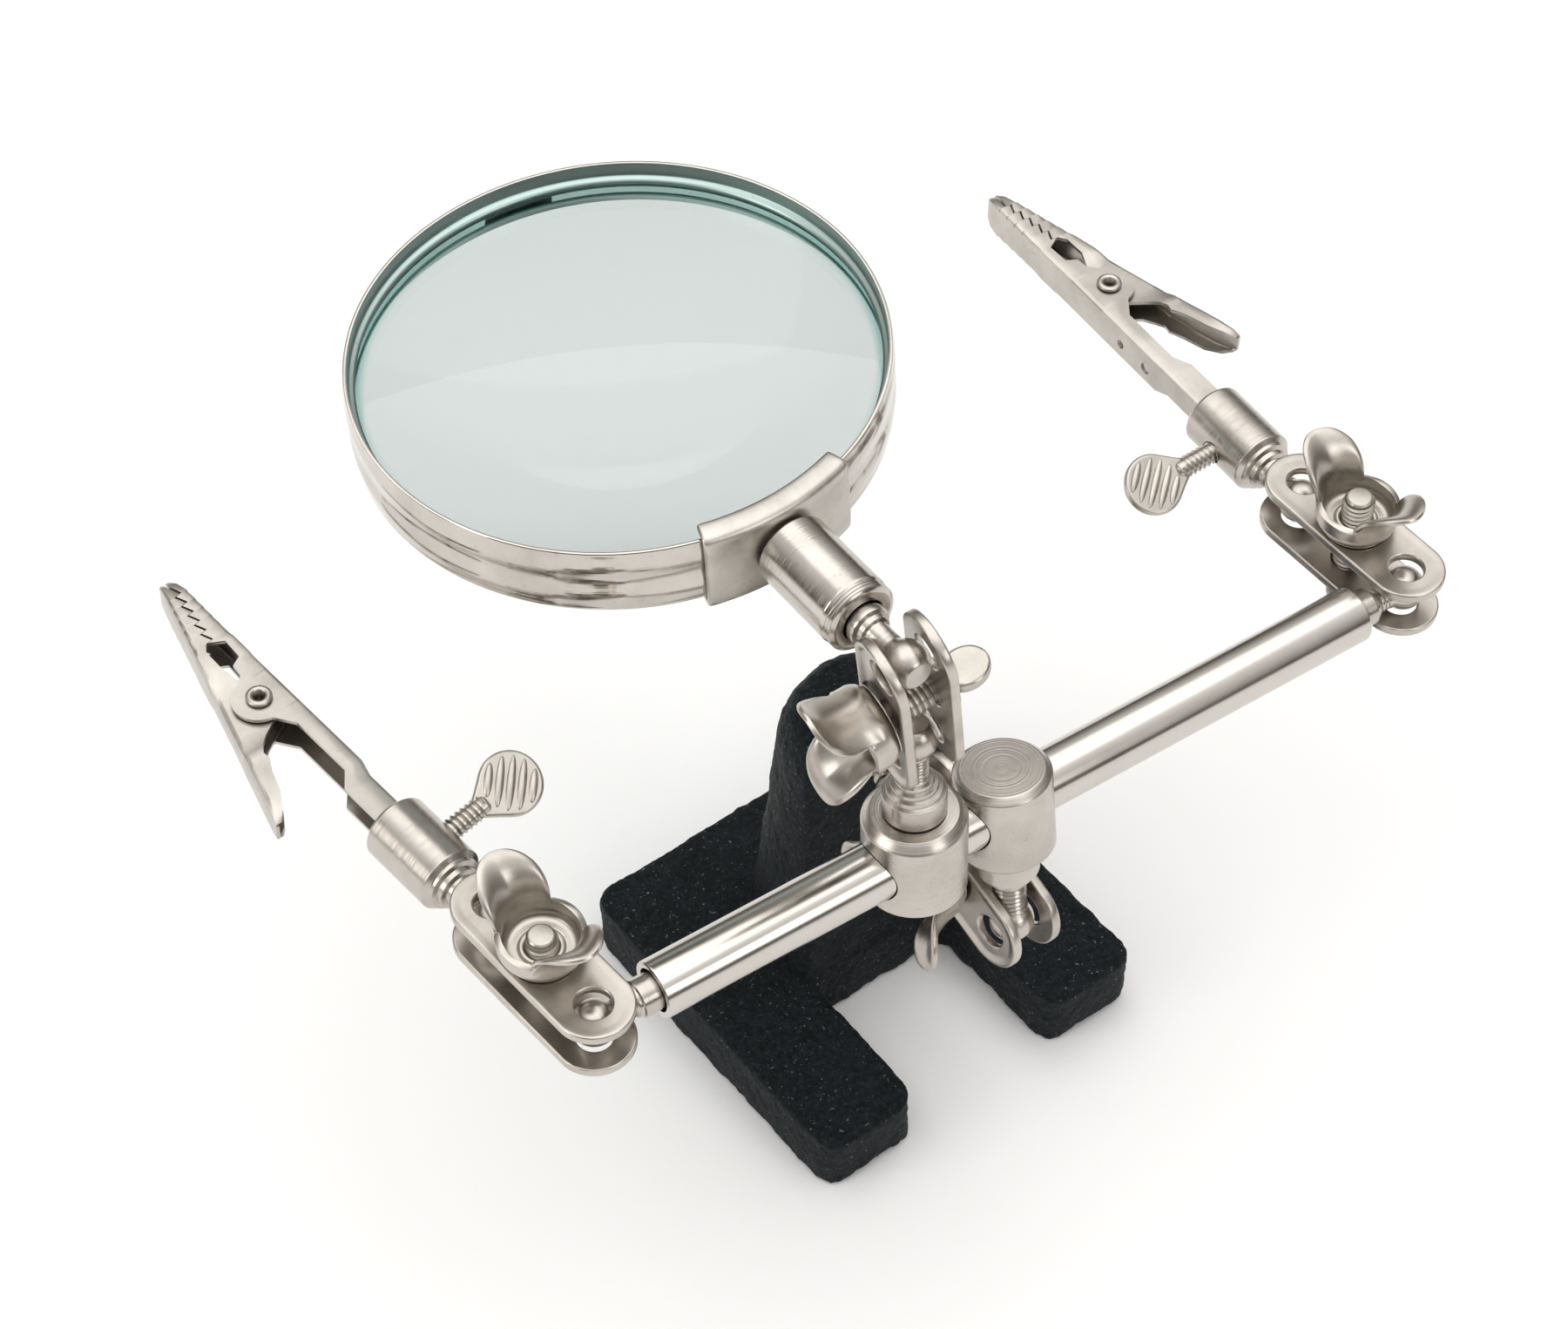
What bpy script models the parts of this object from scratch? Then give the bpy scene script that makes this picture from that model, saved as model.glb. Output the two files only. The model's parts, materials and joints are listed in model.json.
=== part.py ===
"""Helping hands clamp: a cast base, one cross rod on two collars, a magnifier and two clips.

Sizes are in millimetres and are turned to metres where a mesh is made.  The origin is the
middle of the base's underside, +Z is up, +X runs along the crossbar and -Y along the legs.
Four joints, each two plates on a bolt with a wing nut, hold eight ball studs between them.
"""
import math

import bmesh
import bpy
from mathutils import Matrix, Vector

MM = 0.001

# Cast base
BASE_WIDTH = 49.2
BASE_DEPTH = 49.2
BASE_THICK = 8.4
LEG_WIDTH = 14.0
LEG_LENGTH = 21.25
CAST_CHAMFER = 0.8
TOWER_TOP = 51.0
TOWER_SIDE = 11.5
TOWER_BACK = (18.4, 11.1)
TOWER_FRONT_LEAN = 1.5
TOWER_CROWN = 4.0
FOOT_ARCH = 1.15
ARCH = 14.0

# Ball studs and the joints that hold them
BALL = 2.7
NECK = 1.25
ARM = 17.65
PLATE_ROUND = 4.7
PLATE_THICK = 1.2
PLATE_GAP = 4.8
SEAT_HOLE = 2.1
BOLT = 1.95
FIT = 0.3

# Collars and the rod
ROD = 3.48
ROD_WALL = 0.85
ROD_YAW = math.radians(-3.8)
STUD_HEIGHT = 18.8
BASE_COLLAR = 5.75
MAG_COLLAR = 6.05
COLLAR_PITCH = 12.45

# Magnifier
RIM = 30.9
RIM_WALL = 0.7
RIM_HEIGHT = 9.0
LENS = 29.8
LENS_EDGE = 2.4
LENS_SPHERE = 166.0
HANDLE = 4.4

# Clips, each with a socket that ends in a ball
SOCKET = 4.1
SOCKET_MOUTH = 17.9
SCREW_AT = 12.6
TIP_AT = 63.0
RIVET_AT = (3.6, 41.0)
JAW_HALF = 2.45
JAW_WALL = 0.45
RIVET = 0.95
OUTER_EAR = 3.3
INNER_EAR = 2.7

# Rest places of the first ball of each joint, and the way each arm points
BASE_BALL = Vector((0.0, -9.7, 44.1))
LOWER_ARM = Vector((0.0, -0.942, -0.336)).normalized()
MAG_ARM = Vector((-0.215, -0.130, 0.968)).normalized()
LEFT_ARM = Vector((-0.048, 0.999, 0.0)).normalized()
RIGHT_ARM = Vector((-0.003, 1.0, 0.0)).normalized()
LOWER_BOLT = Vector((-0.998, -0.020, 0.057))
MAG_BOLT = Vector((-0.968, 0.133, -0.197))
UP = Vector((0, 0, 1))
COLLAR_ROLL = math.radians(10.0)
MAG_ROLL = math.radians(4.0)
LEFT_CLIP_WAY = Vector((-0.065, 0.998, 0.0))
RIGHT_CLIP_WAY = Vector((0.075, 0.997, 0.0))
HANDLE_WAY = Vector((0.035, 0.999, -0.026)).normalized()
MAGNIFIER_TILT = math.radians(-2.8)
LENS_REACH = 53.1

NICKEL = ((0.62, 0.60, 0.56, 1), 0.28, 1.0)
BRIGHT = ((0.72, 0.70, 0.67, 1), 0.15, 1.0)
STEEL = ((0.45, 0.44, 0.42, 1), 0.35, 1.0)
IRON = ((0.012, 0.013, 0.014, 1), 0.6, 0.0)
GLASS = ((0.80, 0.90, 0.88, 1), 0.03, 0.0)

parts = None
cutters = None
worlds = {}


# ---------------------------------------------------------------- scene and frames

def clear_scene():
    for obj in list(bpy.data.objects):
        bpy.data.objects.remove(obj)


def new_collection(name):
    col = bpy.data.collections.new(name)
    bpy.context.scene.collection.children.link(col)
    return col


def frame(origin, z_axis, x_hint):
    """A right-handed frame at origin whose Z is z_axis and whose X leans to x_hint."""
    z = Vector(z_axis).normalized()
    x = Vector(x_hint)
    x = (x - z * z.dot(x)).normalized()
    m = Matrix((x, z.cross(x), z)).transposed().to_4x4()
    m.translation = Vector(origin)
    return m


def attach(obj, world, parent=None):
    """Places obj at a world frame in millimetres, under a parent placed the same way."""
    worlds[obj.name] = world
    local = worlds[parent.name].inverted() @ world if parent else world
    local = local.copy()
    local.translation *= MM
    obj.parent = parent
    obj.matrix_basis = local


def pivot(name, world, parent=None):
    """An empty on a joint: its Z is the joint's axis."""
    obj = bpy.data.objects.new(name, None)
    obj.empty_display_size = 6 * MM
    parts.objects.link(obj)
    attach(obj, world, parent)
    return obj


def finish(finish_values):
    name = "finish_%02d_%02d" % (int(100 * finish_values[0][0]), int(100 * finish_values[1]))
    mat = bpy.data.materials.get(name) or bpy.data.materials.new(name)
    mat.use_nodes = True
    shader = mat.node_tree.nodes["Principled BSDF"]
    shader.inputs["Base Color"].default_value = finish_values[0]
    shader.inputs["Roughness"].default_value = finish_values[1]
    shader.inputs["Metallic"].default_value = finish_values[2]
    mat.diffuse_color = finish_values[0]
    return mat


def keep(obj, values, world, parent, smooth=True):
    """Links a finished piece into the model, gives it its finish and its place."""
    for col in obj.users_collection:
        col.objects.unlink(obj)
    parts.objects.link(obj)
    obj.data.materials.clear()
    obj.data.materials.append(finish(values))
    if smooth and obj.type == "MESH":
        obj.data.shade_smooth()
        obj.data.set_sharp_from_angle(angle=math.radians(35))
    attach(obj, world, parent)
    return obj


def mesh_object(name, bm):
    mesh = bpy.data.meshes.new(name)
    bm.transform(Matrix.Scale(MM, 4))
    bm.to_mesh(mesh)
    bm.free()
    obj = bpy.data.objects.new(name, mesh)
    bpy.context.scene.collection.objects.link(obj)
    return obj


# ---------------------------------------------------------------- making shapes

def arc(cx, cy, radius, start, end, steps):
    """Points on an arc, angles in degrees."""
    turn = [math.radians(start + (end - start) * i / steps) for i in range(steps + 1)]
    return [(cx + radius * math.cos(a), cy + radius * math.sin(a)) for a in turn]


def turned(name, profile, steps=20, closed=False):
    """A lathe shape about Z: the profile is (radius, height), running down its outer side."""
    bm = bmesh.new()
    verts = [bm.verts.new((r, 0, z)) for r, z in profile]
    for a, b in zip(verts, verts[1:]):
        bm.edges.new((a, b))
    if closed:
        bm.edges.new((verts[-1], verts[0]))
    obj = mesh_object(name, bm)
    mod = obj.modifiers.new("Turn", "SCREW")
    mod.axis = "Z"
    mod.steps = mod.render_steps = steps
    mod.use_merge_vertices = True
    mod.merge_threshold = 1e-6
    mod.use_smooth_shade = True
    return obj


def flat(name, outlines, half_thick):
    """A flat sheet from closed outlines, the first outside and the others holes."""
    curve = bpy.data.curves.new(name, "CURVE")
    curve.dimensions = "2D"
    curve.fill_mode = "BOTH"
    curve.extrude = half_thick * MM
    for points in outlines:
        spline = curve.splines.new("POLY")
        spline.points.add(len(points) - 1)
        for spot, (x, y) in zip(spline.points, points):
            spot.co = (x * MM, y * MM, 0, 1)
        spline.use_cyclic_u = True
    obj = bpy.data.objects.new(name, curve)
    bpy.context.scene.collection.objects.link(obj)
    return to_mesh(obj)


def to_mesh(obj):
    """Swaps a curve object for a welded mesh of the same name."""
    name = obj.name
    depsgraph = bpy.context.evaluated_depsgraph_get()
    mesh = bpy.data.meshes.new_from_object(obj.evaluated_get(depsgraph))
    place = obj.matrix_world.copy()
    bpy.data.objects.remove(obj)
    bm = bmesh.new()
    bm.from_mesh(mesh)
    bmesh.ops.remove_doubles(bm, verts=bm.verts, dist=1e-6)
    bm.to_mesh(mesh)
    bm.free()
    made = bpy.data.objects.new(name, mesh)
    made.matrix_world = place
    bpy.context.scene.collection.objects.link(made)
    return made


def cylinder(name, radius, length, steps=20):
    bm = bmesh.new()
    bmesh.ops.create_cone(bm, cap_ends=True, segments=steps, radius1=radius, radius2=radius, depth=length)
    return mesh_object(name, bm)


def loft(name, rings):
    """A closed solid through rings of equal point counts, capped at both ends."""
    bm = bmesh.new()
    loops = [[bm.verts.new(p) for p in ring] for ring in rings]
    count = len(loops[0])
    for low, high in zip(loops, loops[1:]):
        for i in range(count):
            j = (i + 1) % count
            bm.faces.new((low[i], low[j], high[j], high[i]))
    bm.faces.new(list(reversed(loops[0])))
    bm.faces.new(loops[-1])
    bmesh.ops.recalc_face_normals(bm, faces=bm.faces)
    return mesh_object(name, bm)


def sheet(name, rows, thick):
    """A formed sheet: a grid of points given wall thickness on its inner side."""
    bm = bmesh.new()
    grid = [[bm.verts.new(p) for p in row] for row in rows]
    for a, b in zip(grid, grid[1:]):
        for i in range(len(a) - 1):
            bm.faces.new((a[i], a[i + 1], b[i + 1], b[i]))
    obj = mesh_object(name, bm)
    mod = obj.modifiers.new("Wall", "SOLIDIFY")
    mod.thickness = thick * MM
    mod.offset = -1
    mod.use_even_offset = True
    return obj


def combine(obj, tool, operation, local=None):
    """Adds a Boolean with a tool placed in obj's own frame; the tool goes with the cutters."""
    for col in tool.users_collection:
        col.objects.unlink(tool)
    cutters.objects.link(tool)
    if local is not None:
        place = local.copy()
        place.translation *= MM
        tool.matrix_basis = place
    tool.parent = obj
    tool.hide_render = True
    tool.display_type = "WIRE"
    mod = obj.modifiers.new(operation.title(), "BOOLEAN")
    mod.operation = operation
    mod.object = tool
    mod.solver = "EXACT"


def bevel(obj, width, segments=1, angle=40):
    mod = obj.modifiers.new("Edge", "BEVEL")
    mod.width = width * MM
    mod.segments = segments
    mod.limit_method = "ANGLE"
    mod.angle_limit = math.radians(angle)


# ---------------------------------------------------------------- base

def base_outline():
    """The crossbar with two legs, all corners rounded."""
    half = BASE_WIDTH / 2
    gap = half - LEG_WIDTH
    front = -BASE_DEPTH / 2
    inner = front + LEG_LENGTH
    back = BASE_DEPTH / 2
    r = 3.0
    points = []
    points += arc(half - r, back - r, r, 0, 90, 4)
    points += arc(-half + r, back - r, r, 90, 180, 4)
    points += arc(-half + r, front + r, r, 180, 270, 4)
    points += arc(-gap - r, front + r, r, 270, 360, 4)
    points += arc(-gap + 2, inner - 2, 2, 180, 90, 3)
    points += arc(gap - 2, inner - 2, 2, 90, 0, 3)
    points += arc(gap + r, front + r, r, 180, 270, 4)
    points += arc(half - r, front + r, r, 270, 360, 4)
    return points


def tower_ring(share, steps=24):
    """One level of the tower: flat in front, a half ellipse behind, with a rounded crown."""
    z = BASE_THICK / 2 + (TOWER_TOP - BASE_THICK / 2) * share
    shoulder = TOWER_TOP - TOWER_CROWN
    eased = min(1.0, z / shoulder)
    rise = max(0.0, z - shoulder) / TOWER_CROWN
    inset = 0.85 * TOWER_CROWN * (1 - math.sqrt(1 - rise ** 2))
    side = TOWER_SIDE - inset
    back = TOWER_BACK[0] + (TOWER_BACK[1] - TOWER_BACK[0]) * eased - inset
    front = -BASE_DEPTH / 2 + LEG_LENGTH + TOWER_FRONT_LEAN * eased + inset
    ring = [(-side, front, z), (side, front, z)]
    for i in range(steps + 1):
        a = math.pi * i / steps
        ring.append((side * math.cos(a), max(front + 0.5, back * math.sin(a)), z))
    return ring


def make_base():
    obj = flat("base", [base_outline()], BASE_THICK / 2)
    obj.data.transform(Matrix.Translation((0, 0, BASE_THICK / 2 * MM)))
    shoulder = 1 - TOWER_CROWN / (TOWER_TOP - BASE_THICK / 2)
    shares = [0.0, shoulder / 2] + [shoulder + (1 - shoulder) * k for k in (0, 0.4, 0.7, 0.9, 1.0)]
    combine(obj, loft("tower_body", [tower_ring(s) for s in shares]), "UNION")
    leg_middle = BASE_WIDTH / 2 - LEG_WIDTH / 2
    for side in (-1, 1):
        arch = cylinder("foot_arch_%d" % (side + 1), ARCH, 12.0, 48)
        place = frame((side * leg_middle, -BASE_DEPTH / 2, FOOT_ARCH - ARCH), (0, 1, 0), (1, 0, 0))
        combine(obj, arch, "DIFFERENCE", place)
    hole = cylinder("stud_hole", 2.0 + FIT, 16.0, 20)
    combine(obj, hole, "DIFFERENCE", frame((BASE_BALL.x, 0, BASE_BALL.z), (0, 1, 0), (1, 0, 0)))
    bevel(obj, CAST_CHAMFER, 1, 50)
    return keep(obj, IRON, Matrix(), None)


# ---------------------------------------------------------------- ball studs

def ball_profile():
    """The ball with a small turned flat on its far end, in a stud's frame (Z into the part)."""
    flat_at = math.degrees(math.asin(1.0 / BALL))
    top = arc(0, 0, BALL, 270 + flat_at, 360 + 56, 5)
    return [(0, -BALL * math.cos(math.radians(flat_at)))] + top


def stud(name, steps_up, values, world, parent):
    """A turned stud: its ball at the origin, then its neck and the given steps up to its root."""
    profile = ball_profile() + steps_up
    profile.append((0, steps_up[-1][1]))
    return keep(turned(name, list(reversed(profile)), 14), values, world, parent)


def screw_stud(name, world, parent):
    """The stud of a collar: a turned sleeve with steps, and a shank that screws in."""
    steps = [(NECK, 2.9), (NECK, 6.2), (2.2, 6.5), (2.2, 7.1), (2.7, 7.2), (2.7, 7.8),
             (3.2, 7.9), (3.2, 8.5), (3.7, 8.8), (3.7, STUD_HEIGHT - 6.9 - FIT),
             (2.2, STUD_HEIGHT - 6.9 - FIT), (2.2, STUD_HEIGHT - ROD - 2 * FIT)]
    return stud(name, steps, NICKEL, world, parent)


# ---------------------------------------------------------------- joints

def ring_points(cx, radius, steps):
    return arc(cx, 0, radius, 0, 360 * (steps - 1) / steps, steps - 1)


def plate(name, side, world, parent):
    half = ARM / 2
    outer = arc(half, 0, PLATE_ROUND, -90, 90, 7) + arc(-half, 0, PLATE_ROUND, 90, 270, 7)
    holes = [ring_points(x, r, 12) for x, r in ((-half, SEAT_HOLE), (0, BOLT + FIT), (half, SEAT_HOLE))]
    obj = flat(name, [outer] + holes, PLATE_THICK / 2)
    lift = side * (PLATE_GAP + PLATE_THICK) / 2
    return keep(obj, NICKEL, world @ Matrix.Translation((0, 0, lift)), parent)


def bolt(name, reach, world, parent):
    """A screw with a flattened thumb head under the far plate."""
    seat = -(PLATE_GAP / 2 + PLATE_THICK + FIT)
    profile = [(0, reach), (BOLT - 0.4, reach), (BOLT, reach - 0.5), (BOLT, seat),
               (2.9, seat), (2.9, seat - 0.9), (0, seat - 0.9)]
    obj = turned(name, profile, 16)
    head = flat(name + "_head", [arc(0, 0, 2.9, 0, 337.5, 15)], 0.85)
    combine(obj, head, "UNION", frame((0, 0, seat - 3.2), (1, 0, 0), (0, 0, 1)))
    return keep(obj, STEEL, world, parent)


def wing_rows(side):
    """One pressed wing: it rises from the disc and flares outwards to a rounded tip."""
    path = [(2.4, 4.15), (3.9, 4.3), (4.9, 5.2), (5.5, 7.0), (6.5, 9.0), (7.8, 10.8), (9.0, 12.1)]
    widths = [2.6, 3.0, 3.4, 3.7, 3.7, 3.2, 1.5]
    rows = []
    for (out, z), half in zip(path, widths):
        row = []
        for k in range(5):
            s = -1 + k / 2
            curl = 0.9 * s * s * max(0.0, (z - 4.5) / 8)
            row.append((side * (out - curl), side * half * s, z + 0.2 * s * s))
        rows.append(row)
    return rows


def wing_nut(name, turn, world, parent):
    low = PLATE_GAP / 2 + PLATE_THICK + FIT
    bore = BOLT + FIT
    profile = [(bore, 6.0), (2.9, 6.0), (3.2, low + 1.1), (4.3, low + 0.9), (4.3, low), (bore, low)]
    obj = turned(name, profile, 16, closed=True)
    for side in (-1, 1):
        wing = sheet("%s_wing_%d" % (name, side + 1), wing_rows(side), 0.8)
        combine(obj, wing, "UNION", Matrix())
    return keep(obj, NICKEL, world @ Matrix.Rotation(turn, 4, "Z"), parent)


def make_joint(tag, start, way, bolt_way, reach, nut_turn, parent):
    """Two plates, a bolt and a wing nut; the joint swings about its first ball."""
    swing = pivot(tag + "_swing", frame(start, bolt_way, way), parent)
    middle = frame(start + way * ARM / 2, bolt_way, way)
    plate(tag + "_joint_plate_outer", 1, middle, swing)
    plate(tag + "_joint_plate_inner", -1, middle, swing)
    bolt(tag + "_joint_bolt", reach, middle, swing)
    nut = pivot(tag + "_nut_turn", middle, swing)
    wing_nut(tag + "_joint_wing_nut", nut_turn, middle, nut)
    return swing


# ---------------------------------------------------------------- collars and rod

def collar(name, radius, far, near, chamfer, world, parent):
    """A turned collar, bored across for the rod and down its end for the stud's shank."""
    profile = [(0, near), (radius - chamfer[0], near), (radius, near - chamfer[1]),
               (radius, -far + 0.9), (radius - 0.9, -far), (0, -far)]
    obj = turned(name, profile, 24)
    across = cylinder(name + "_bore", ROD + FIT, 4 * radius, 20)
    combine(obj, across, "DIFFERENCE", frame((0, 0, 0), (1, 0, 0), (0, 0, 1)))
    down = cylinder(name + "_thread", 2.2 + FIT, 2 * near, 14)
    combine(obj, down, "DIFFERENCE", Matrix.Translation((0, 0, near)))
    return keep(obj, NICKEL, world, parent)


def make_rod(start, length, world_way, parent):
    obj = turned("rod_tube", [(ROD - ROD_WALL, length), (ROD - 0.3, length), (ROD, length - 0.3),
                              (ROD, 0.3), (ROD - 0.3, 0), (ROD - ROD_WALL, 0)], 24, closed=True)
    return keep(obj, BRIGHT, frame(start, world_way, UP), parent)


def rod_stud(name, world, parent):
    steps = [(NECK, 2.9), (NECK, 4.4), (2.0, 5.0), (2.3, 5.3), (2.3, 16.0)]
    return stud(name, steps, NICKEL, world, parent)


# ---------------------------------------------------------------- magnifier

def rim_profile():
    """A strip with two inner beads that hold the glass between them."""
    inner = RIM - RIM_WALL
    top = RIM_HEIGHT / 2
    bead = LENS_EDGE / 2 + 0.5
    return [(RIM, top), (RIM, -top), (inner, -top), (inner, -bead - 0.9), (inner - 0.8, -bead - 0.4),
            (inner, -bead), (inner, bead), (inner - 0.8, bead + 0.4), (inner, bead + 0.9), (inner, top)]


def lens_profile(steps=4):
    """Half the section of a lens with two equal spherical faces and a ground edge."""
    def rise(r):
        return LENS_EDGE / 2 + math.sqrt(LENS_SPHERE ** 2 - r ** 2) - math.sqrt(LENS_SPHERE ** 2 - LENS ** 2)
    upper = [(LENS * i / steps, rise(LENS * i / steps)) for i in range(steps + 1)]
    return upper + [(r, -z) for r, z in reversed(upper)]


def bracket_rows():
    """A strip bent round the rim's front and folded over its top and bottom edges."""
    skin = RIM + FIT + 0.8
    high = RIM_HEIGHT / 2 + FIT + 0.8
    section = [(skin - 3.0, high), (skin - 0.9, high), (skin - 0.25, high - 0.25), (skin, high - 0.9),
               (skin, 0), (skin, -high + 0.9), (skin - 0.25, -high + 0.25), (skin - 0.9, -high),
               (skin - 3.0, -high)]
    rows = []
    for i in range(9):
        a = math.radians(-90 + 17.5 * (i / 4 - 1))
        rows.append([(r * math.cos(a), r * math.sin(a), z) for r, z in section])
    return rows


def make_magnifier(ball, way, parent):
    """Handle, bracket, rim and lens; they roll together about the handle's own axis."""
    side = way.cross(UP)
    roll = Matrix.Rotation(MAGNIFIER_TILT, 4, way)
    up = roll.to_3x3() @ way.cross(UP).cross(way).normalized()
    twist = pivot("magnifier_twist", frame(ball + way * 7.0, way, up), parent)
    centre = frame(ball + way * LENS_REACH, up, side)
    keep(turned("magnifier_rim", rim_profile(), 48, closed=True), BRIGHT, centre, twist)
    keep(turned("magnifier_lens", lens_profile(), 32), GLASS, centre, twist)
    bracket = sheet("rim_bracket", bracket_rows(), 0.8)
    hole = cylinder("bracket_hole", 2.6 + FIT, 8.0, 20)
    combine(bracket, hole, "DIFFERENCE", frame((0, -RIM - 1, 0), (0, 1, 0), (1, 0, 0)))
    keep(bracket, NICKEL, centre, twist)
    reach = LENS_REACH - RIM - 2 * FIT - 0.8
    tube = [(0, reach + 1.0), (2.6, reach + 1.0), (2.6, reach), (HANDLE, reach), (HANDLE, 8.4),
            (HANDLE - 0.5, 7.6), (2.3 + FIT, 7.6), (2.3 + FIT, 13.0), (0, 13.0)]
    keep(turned("handle_tube", tube, 20), NICKEL, frame(ball, way, up), twist)
    return twist


def handle_stud(world, parent):
    steps = [(NECK, 2.9), (NECK, 5.1), (2.1, 5.3), (2.1, 5.7), (2.7, 5.8), (2.7, 6.2), (3.3, 6.3),
             (3.3, 7.3), (2.3, 7.3), (2.3, 12.4)]
    return stud("handle_stud", steps, NICKEL, world, parent)


# ---------------------------------------------------------------- clips

def make_socket(tag, world, screw_way, parent):
    """A cup with a ball at its closed end and a side hole for the thumb screw."""
    steps = [(NECK, 2.9), (NECK, 5.0), (2.1, 5.3), (2.1, 5.9), (2.8, 6.0), (2.8, 6.7), (3.4, 6.8),
             (SOCKET, 7.7), (SOCKET, SOCKET_MOUTH - 0.5), (SOCKET - 0.5, SOCKET_MOUTH),
             (3.1, SOCKET_MOUTH), (3.1, 10.4), (0, 10.4)]
    profile = ball_profile() + steps
    obj = turned(tag + "_clip_socket", list(reversed(profile)), 16)
    side = cylinder(tag + "_screw_hole", 1.4 + FIT, 8.0, 12)
    local = (world.inverted().to_3x3() @ screw_way).normalized()
    combine(obj, side, "DIFFERENCE", frame(Vector((0, 0, SCREW_AT)) + local * 5, local, (0, 0, 1)))
    return keep(obj, NICKEL, world, parent)


def thumb_screw(tag, world, parent):
    """A short screw with a round flat head; Z runs outwards along the screw."""
    profile = [(0, 9.6), (1.4, 9.6), (1.4, 3.1), (1.0, 2.7), (0, 2.7)]
    obj = turned(tag + "_thumb_screw", profile, 14)
    head = flat(tag + "_thumb_head", [arc(0, 0, 3.9, 0, 345, 23)], 0.7)
    combine(obj, head, "UNION", frame((0, 0, 12.8), (1, 0, 0), (0, 0, 1)))
    return keep(obj, NICKEL, world, parent)


def channel_row(u, out, edge, half):
    """One section of a pressed jaw, from one cheek's free edge round the back to the other's."""
    way = 1 if edge > out else -1
    corner = min(0.7, 0.3 * abs(edge - out))
    side = [(edge, half), (out + way * corner, half), (out, half - corner)]
    both = side + [(v, -w) for v, w in reversed(side)]
    return [(v, u, w) for v, w in reversed(both)]


def tooth_line(u):
    """Where the two jaws' teeth meet, from the window to the tip."""
    return 2.7 - 1.7 * (u - 51.4) / 9.9


def tooth_steps(gap):
    """Saw teeth along the meeting line, shifted sideways by gap."""
    pitch = 1.65
    rows = []
    for k in range(6):
        u = 51.6 + pitch * k
        rows.append((u, tooth_line(u) + 0.42 + gap))
        rows.append((u + 0.15, tooth_line(u) - 0.42 + gap))
    return rows


def ear_rows(ear, sign, angles):
    """The rounded ear of a jaw: places along the clip and the height of the ear's edge."""
    v, u = RIVET_AT
    turns = [math.radians(d) for d in angles]
    return [(u + ear * math.sin(a), v + sign * ear * math.cos(a)) for a in turns]


def fixed_jaw(tag, world, parent):
    """The jaw with the tail that sits in the socket and the outer ears on the rivet."""
    v, u = RIVET_AT
    rows = [(11.5, 0.4, 4.1, 1.9), (24.3, 0.4, 4.1, 1.9), (26.3, 0.0, 2.5, JAW_HALF), (35.2, 0.0, 2.5, JAW_HALF)]
    rows += [(at, 0.0, edge, JAW_HALF) for at, edge in ear_rows(OUTER_EAR, 1, range(-80, 81, 20))]
    rows += [(45.2, 0.0, 3.2, JAW_HALF), (46.9, 0.0, 3.0, JAW_HALF)]
    rows += [(47.6, 0.0, 1.6, JAW_HALF), (50.6, 0.0, 1.4, JAW_HALF)]
    rows += [(at, 0.0, edge, JAW_HALF) for at, edge in tooth_steps(0.0)]
    rows += [(TIP_AT - 1.2, 0.15, 1.25, 2.2), (TIP_AT, 0.6, 1.2, 1.6)]
    obj = sheet(tag + "_clip_fixed_jaw", [channel_row(*row) for row in rows], JAW_WALL)
    hole = cylinder(tag + "_fixed_rivet_hole", RIVET + FIT, 12.0, 12)
    combine(obj, hole, "DIFFERENCE", Matrix.Translation((v, u, 0)))
    return keep(obj, NICKEL, world, parent)


def spine(u):
    """The outer line of the moving jaw."""
    return 1.75 + 0.29 * (TIP_AT + 1 - u)


def moving_jaw(tag, world, parent):
    """The sprung jaw: its inner ears sit on the rivet and its end is the thumb pad."""
    v, u = RIVET_AT
    inner = JAW_HALF - JAW_WALL - 0.25
    places = [(TIP_AT, 1.5, 1.6), (TIP_AT - 1.2, 1.6, 2.2)]
    places += [(at, edge, JAW_HALF) for at, edge in reversed(tooth_steps(FIT))]
    places += [(50.6, 4.1, JAW_HALF), (47.6, 4.2, JAW_HALF), (46.6, 3.9, 2.2), (45.4, 3.6, inner)]
    places += [(at, edge, inner) for at, edge in ear_rows(INNER_EAR, -1, range(75, -76, -25))]
    places += [(36.6, 6.0, inner), (34.6, 8.2, 2.1)]
    places += [(32.4, spine(32.4) - 1.0, 2.2), (27.5, spine(27.5) - 0.9, 2.1), (25.4, spine(25.4) - 0.9, 1.2)]
    rows = [channel_row(at, spine(at), edge, half) for at, edge, half in places]
    obj = sheet(tag + "_clip_moving_jaw", rows, JAW_WALL)
    hole = cylinder(tag + "_moving_rivet_hole", RIVET + FIT, 12.0, 12)
    combine(obj, hole, "DIFFERENCE", Matrix.Translation((v, u, 0)))
    return keep(obj, NICKEL, world, parent)


def rivet(tag, world, parent):
    """A tubular rivet with a rolled head on each side."""
    out = JAW_HALF + FIT
    profile = [(0, out + 0.35), (1.3, out + 0.35), (1.6, out + 0.15), (1.6, out), (RIVET, out), (RIVET, -out),
               (1.6, -out), (1.6, -out - 0.15), (1.3, -out - 0.35), (0, -out - 0.35)]
    return keep(turned(tag + "_clip_rivet", profile, 16), NICKEL, world, parent)


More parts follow.
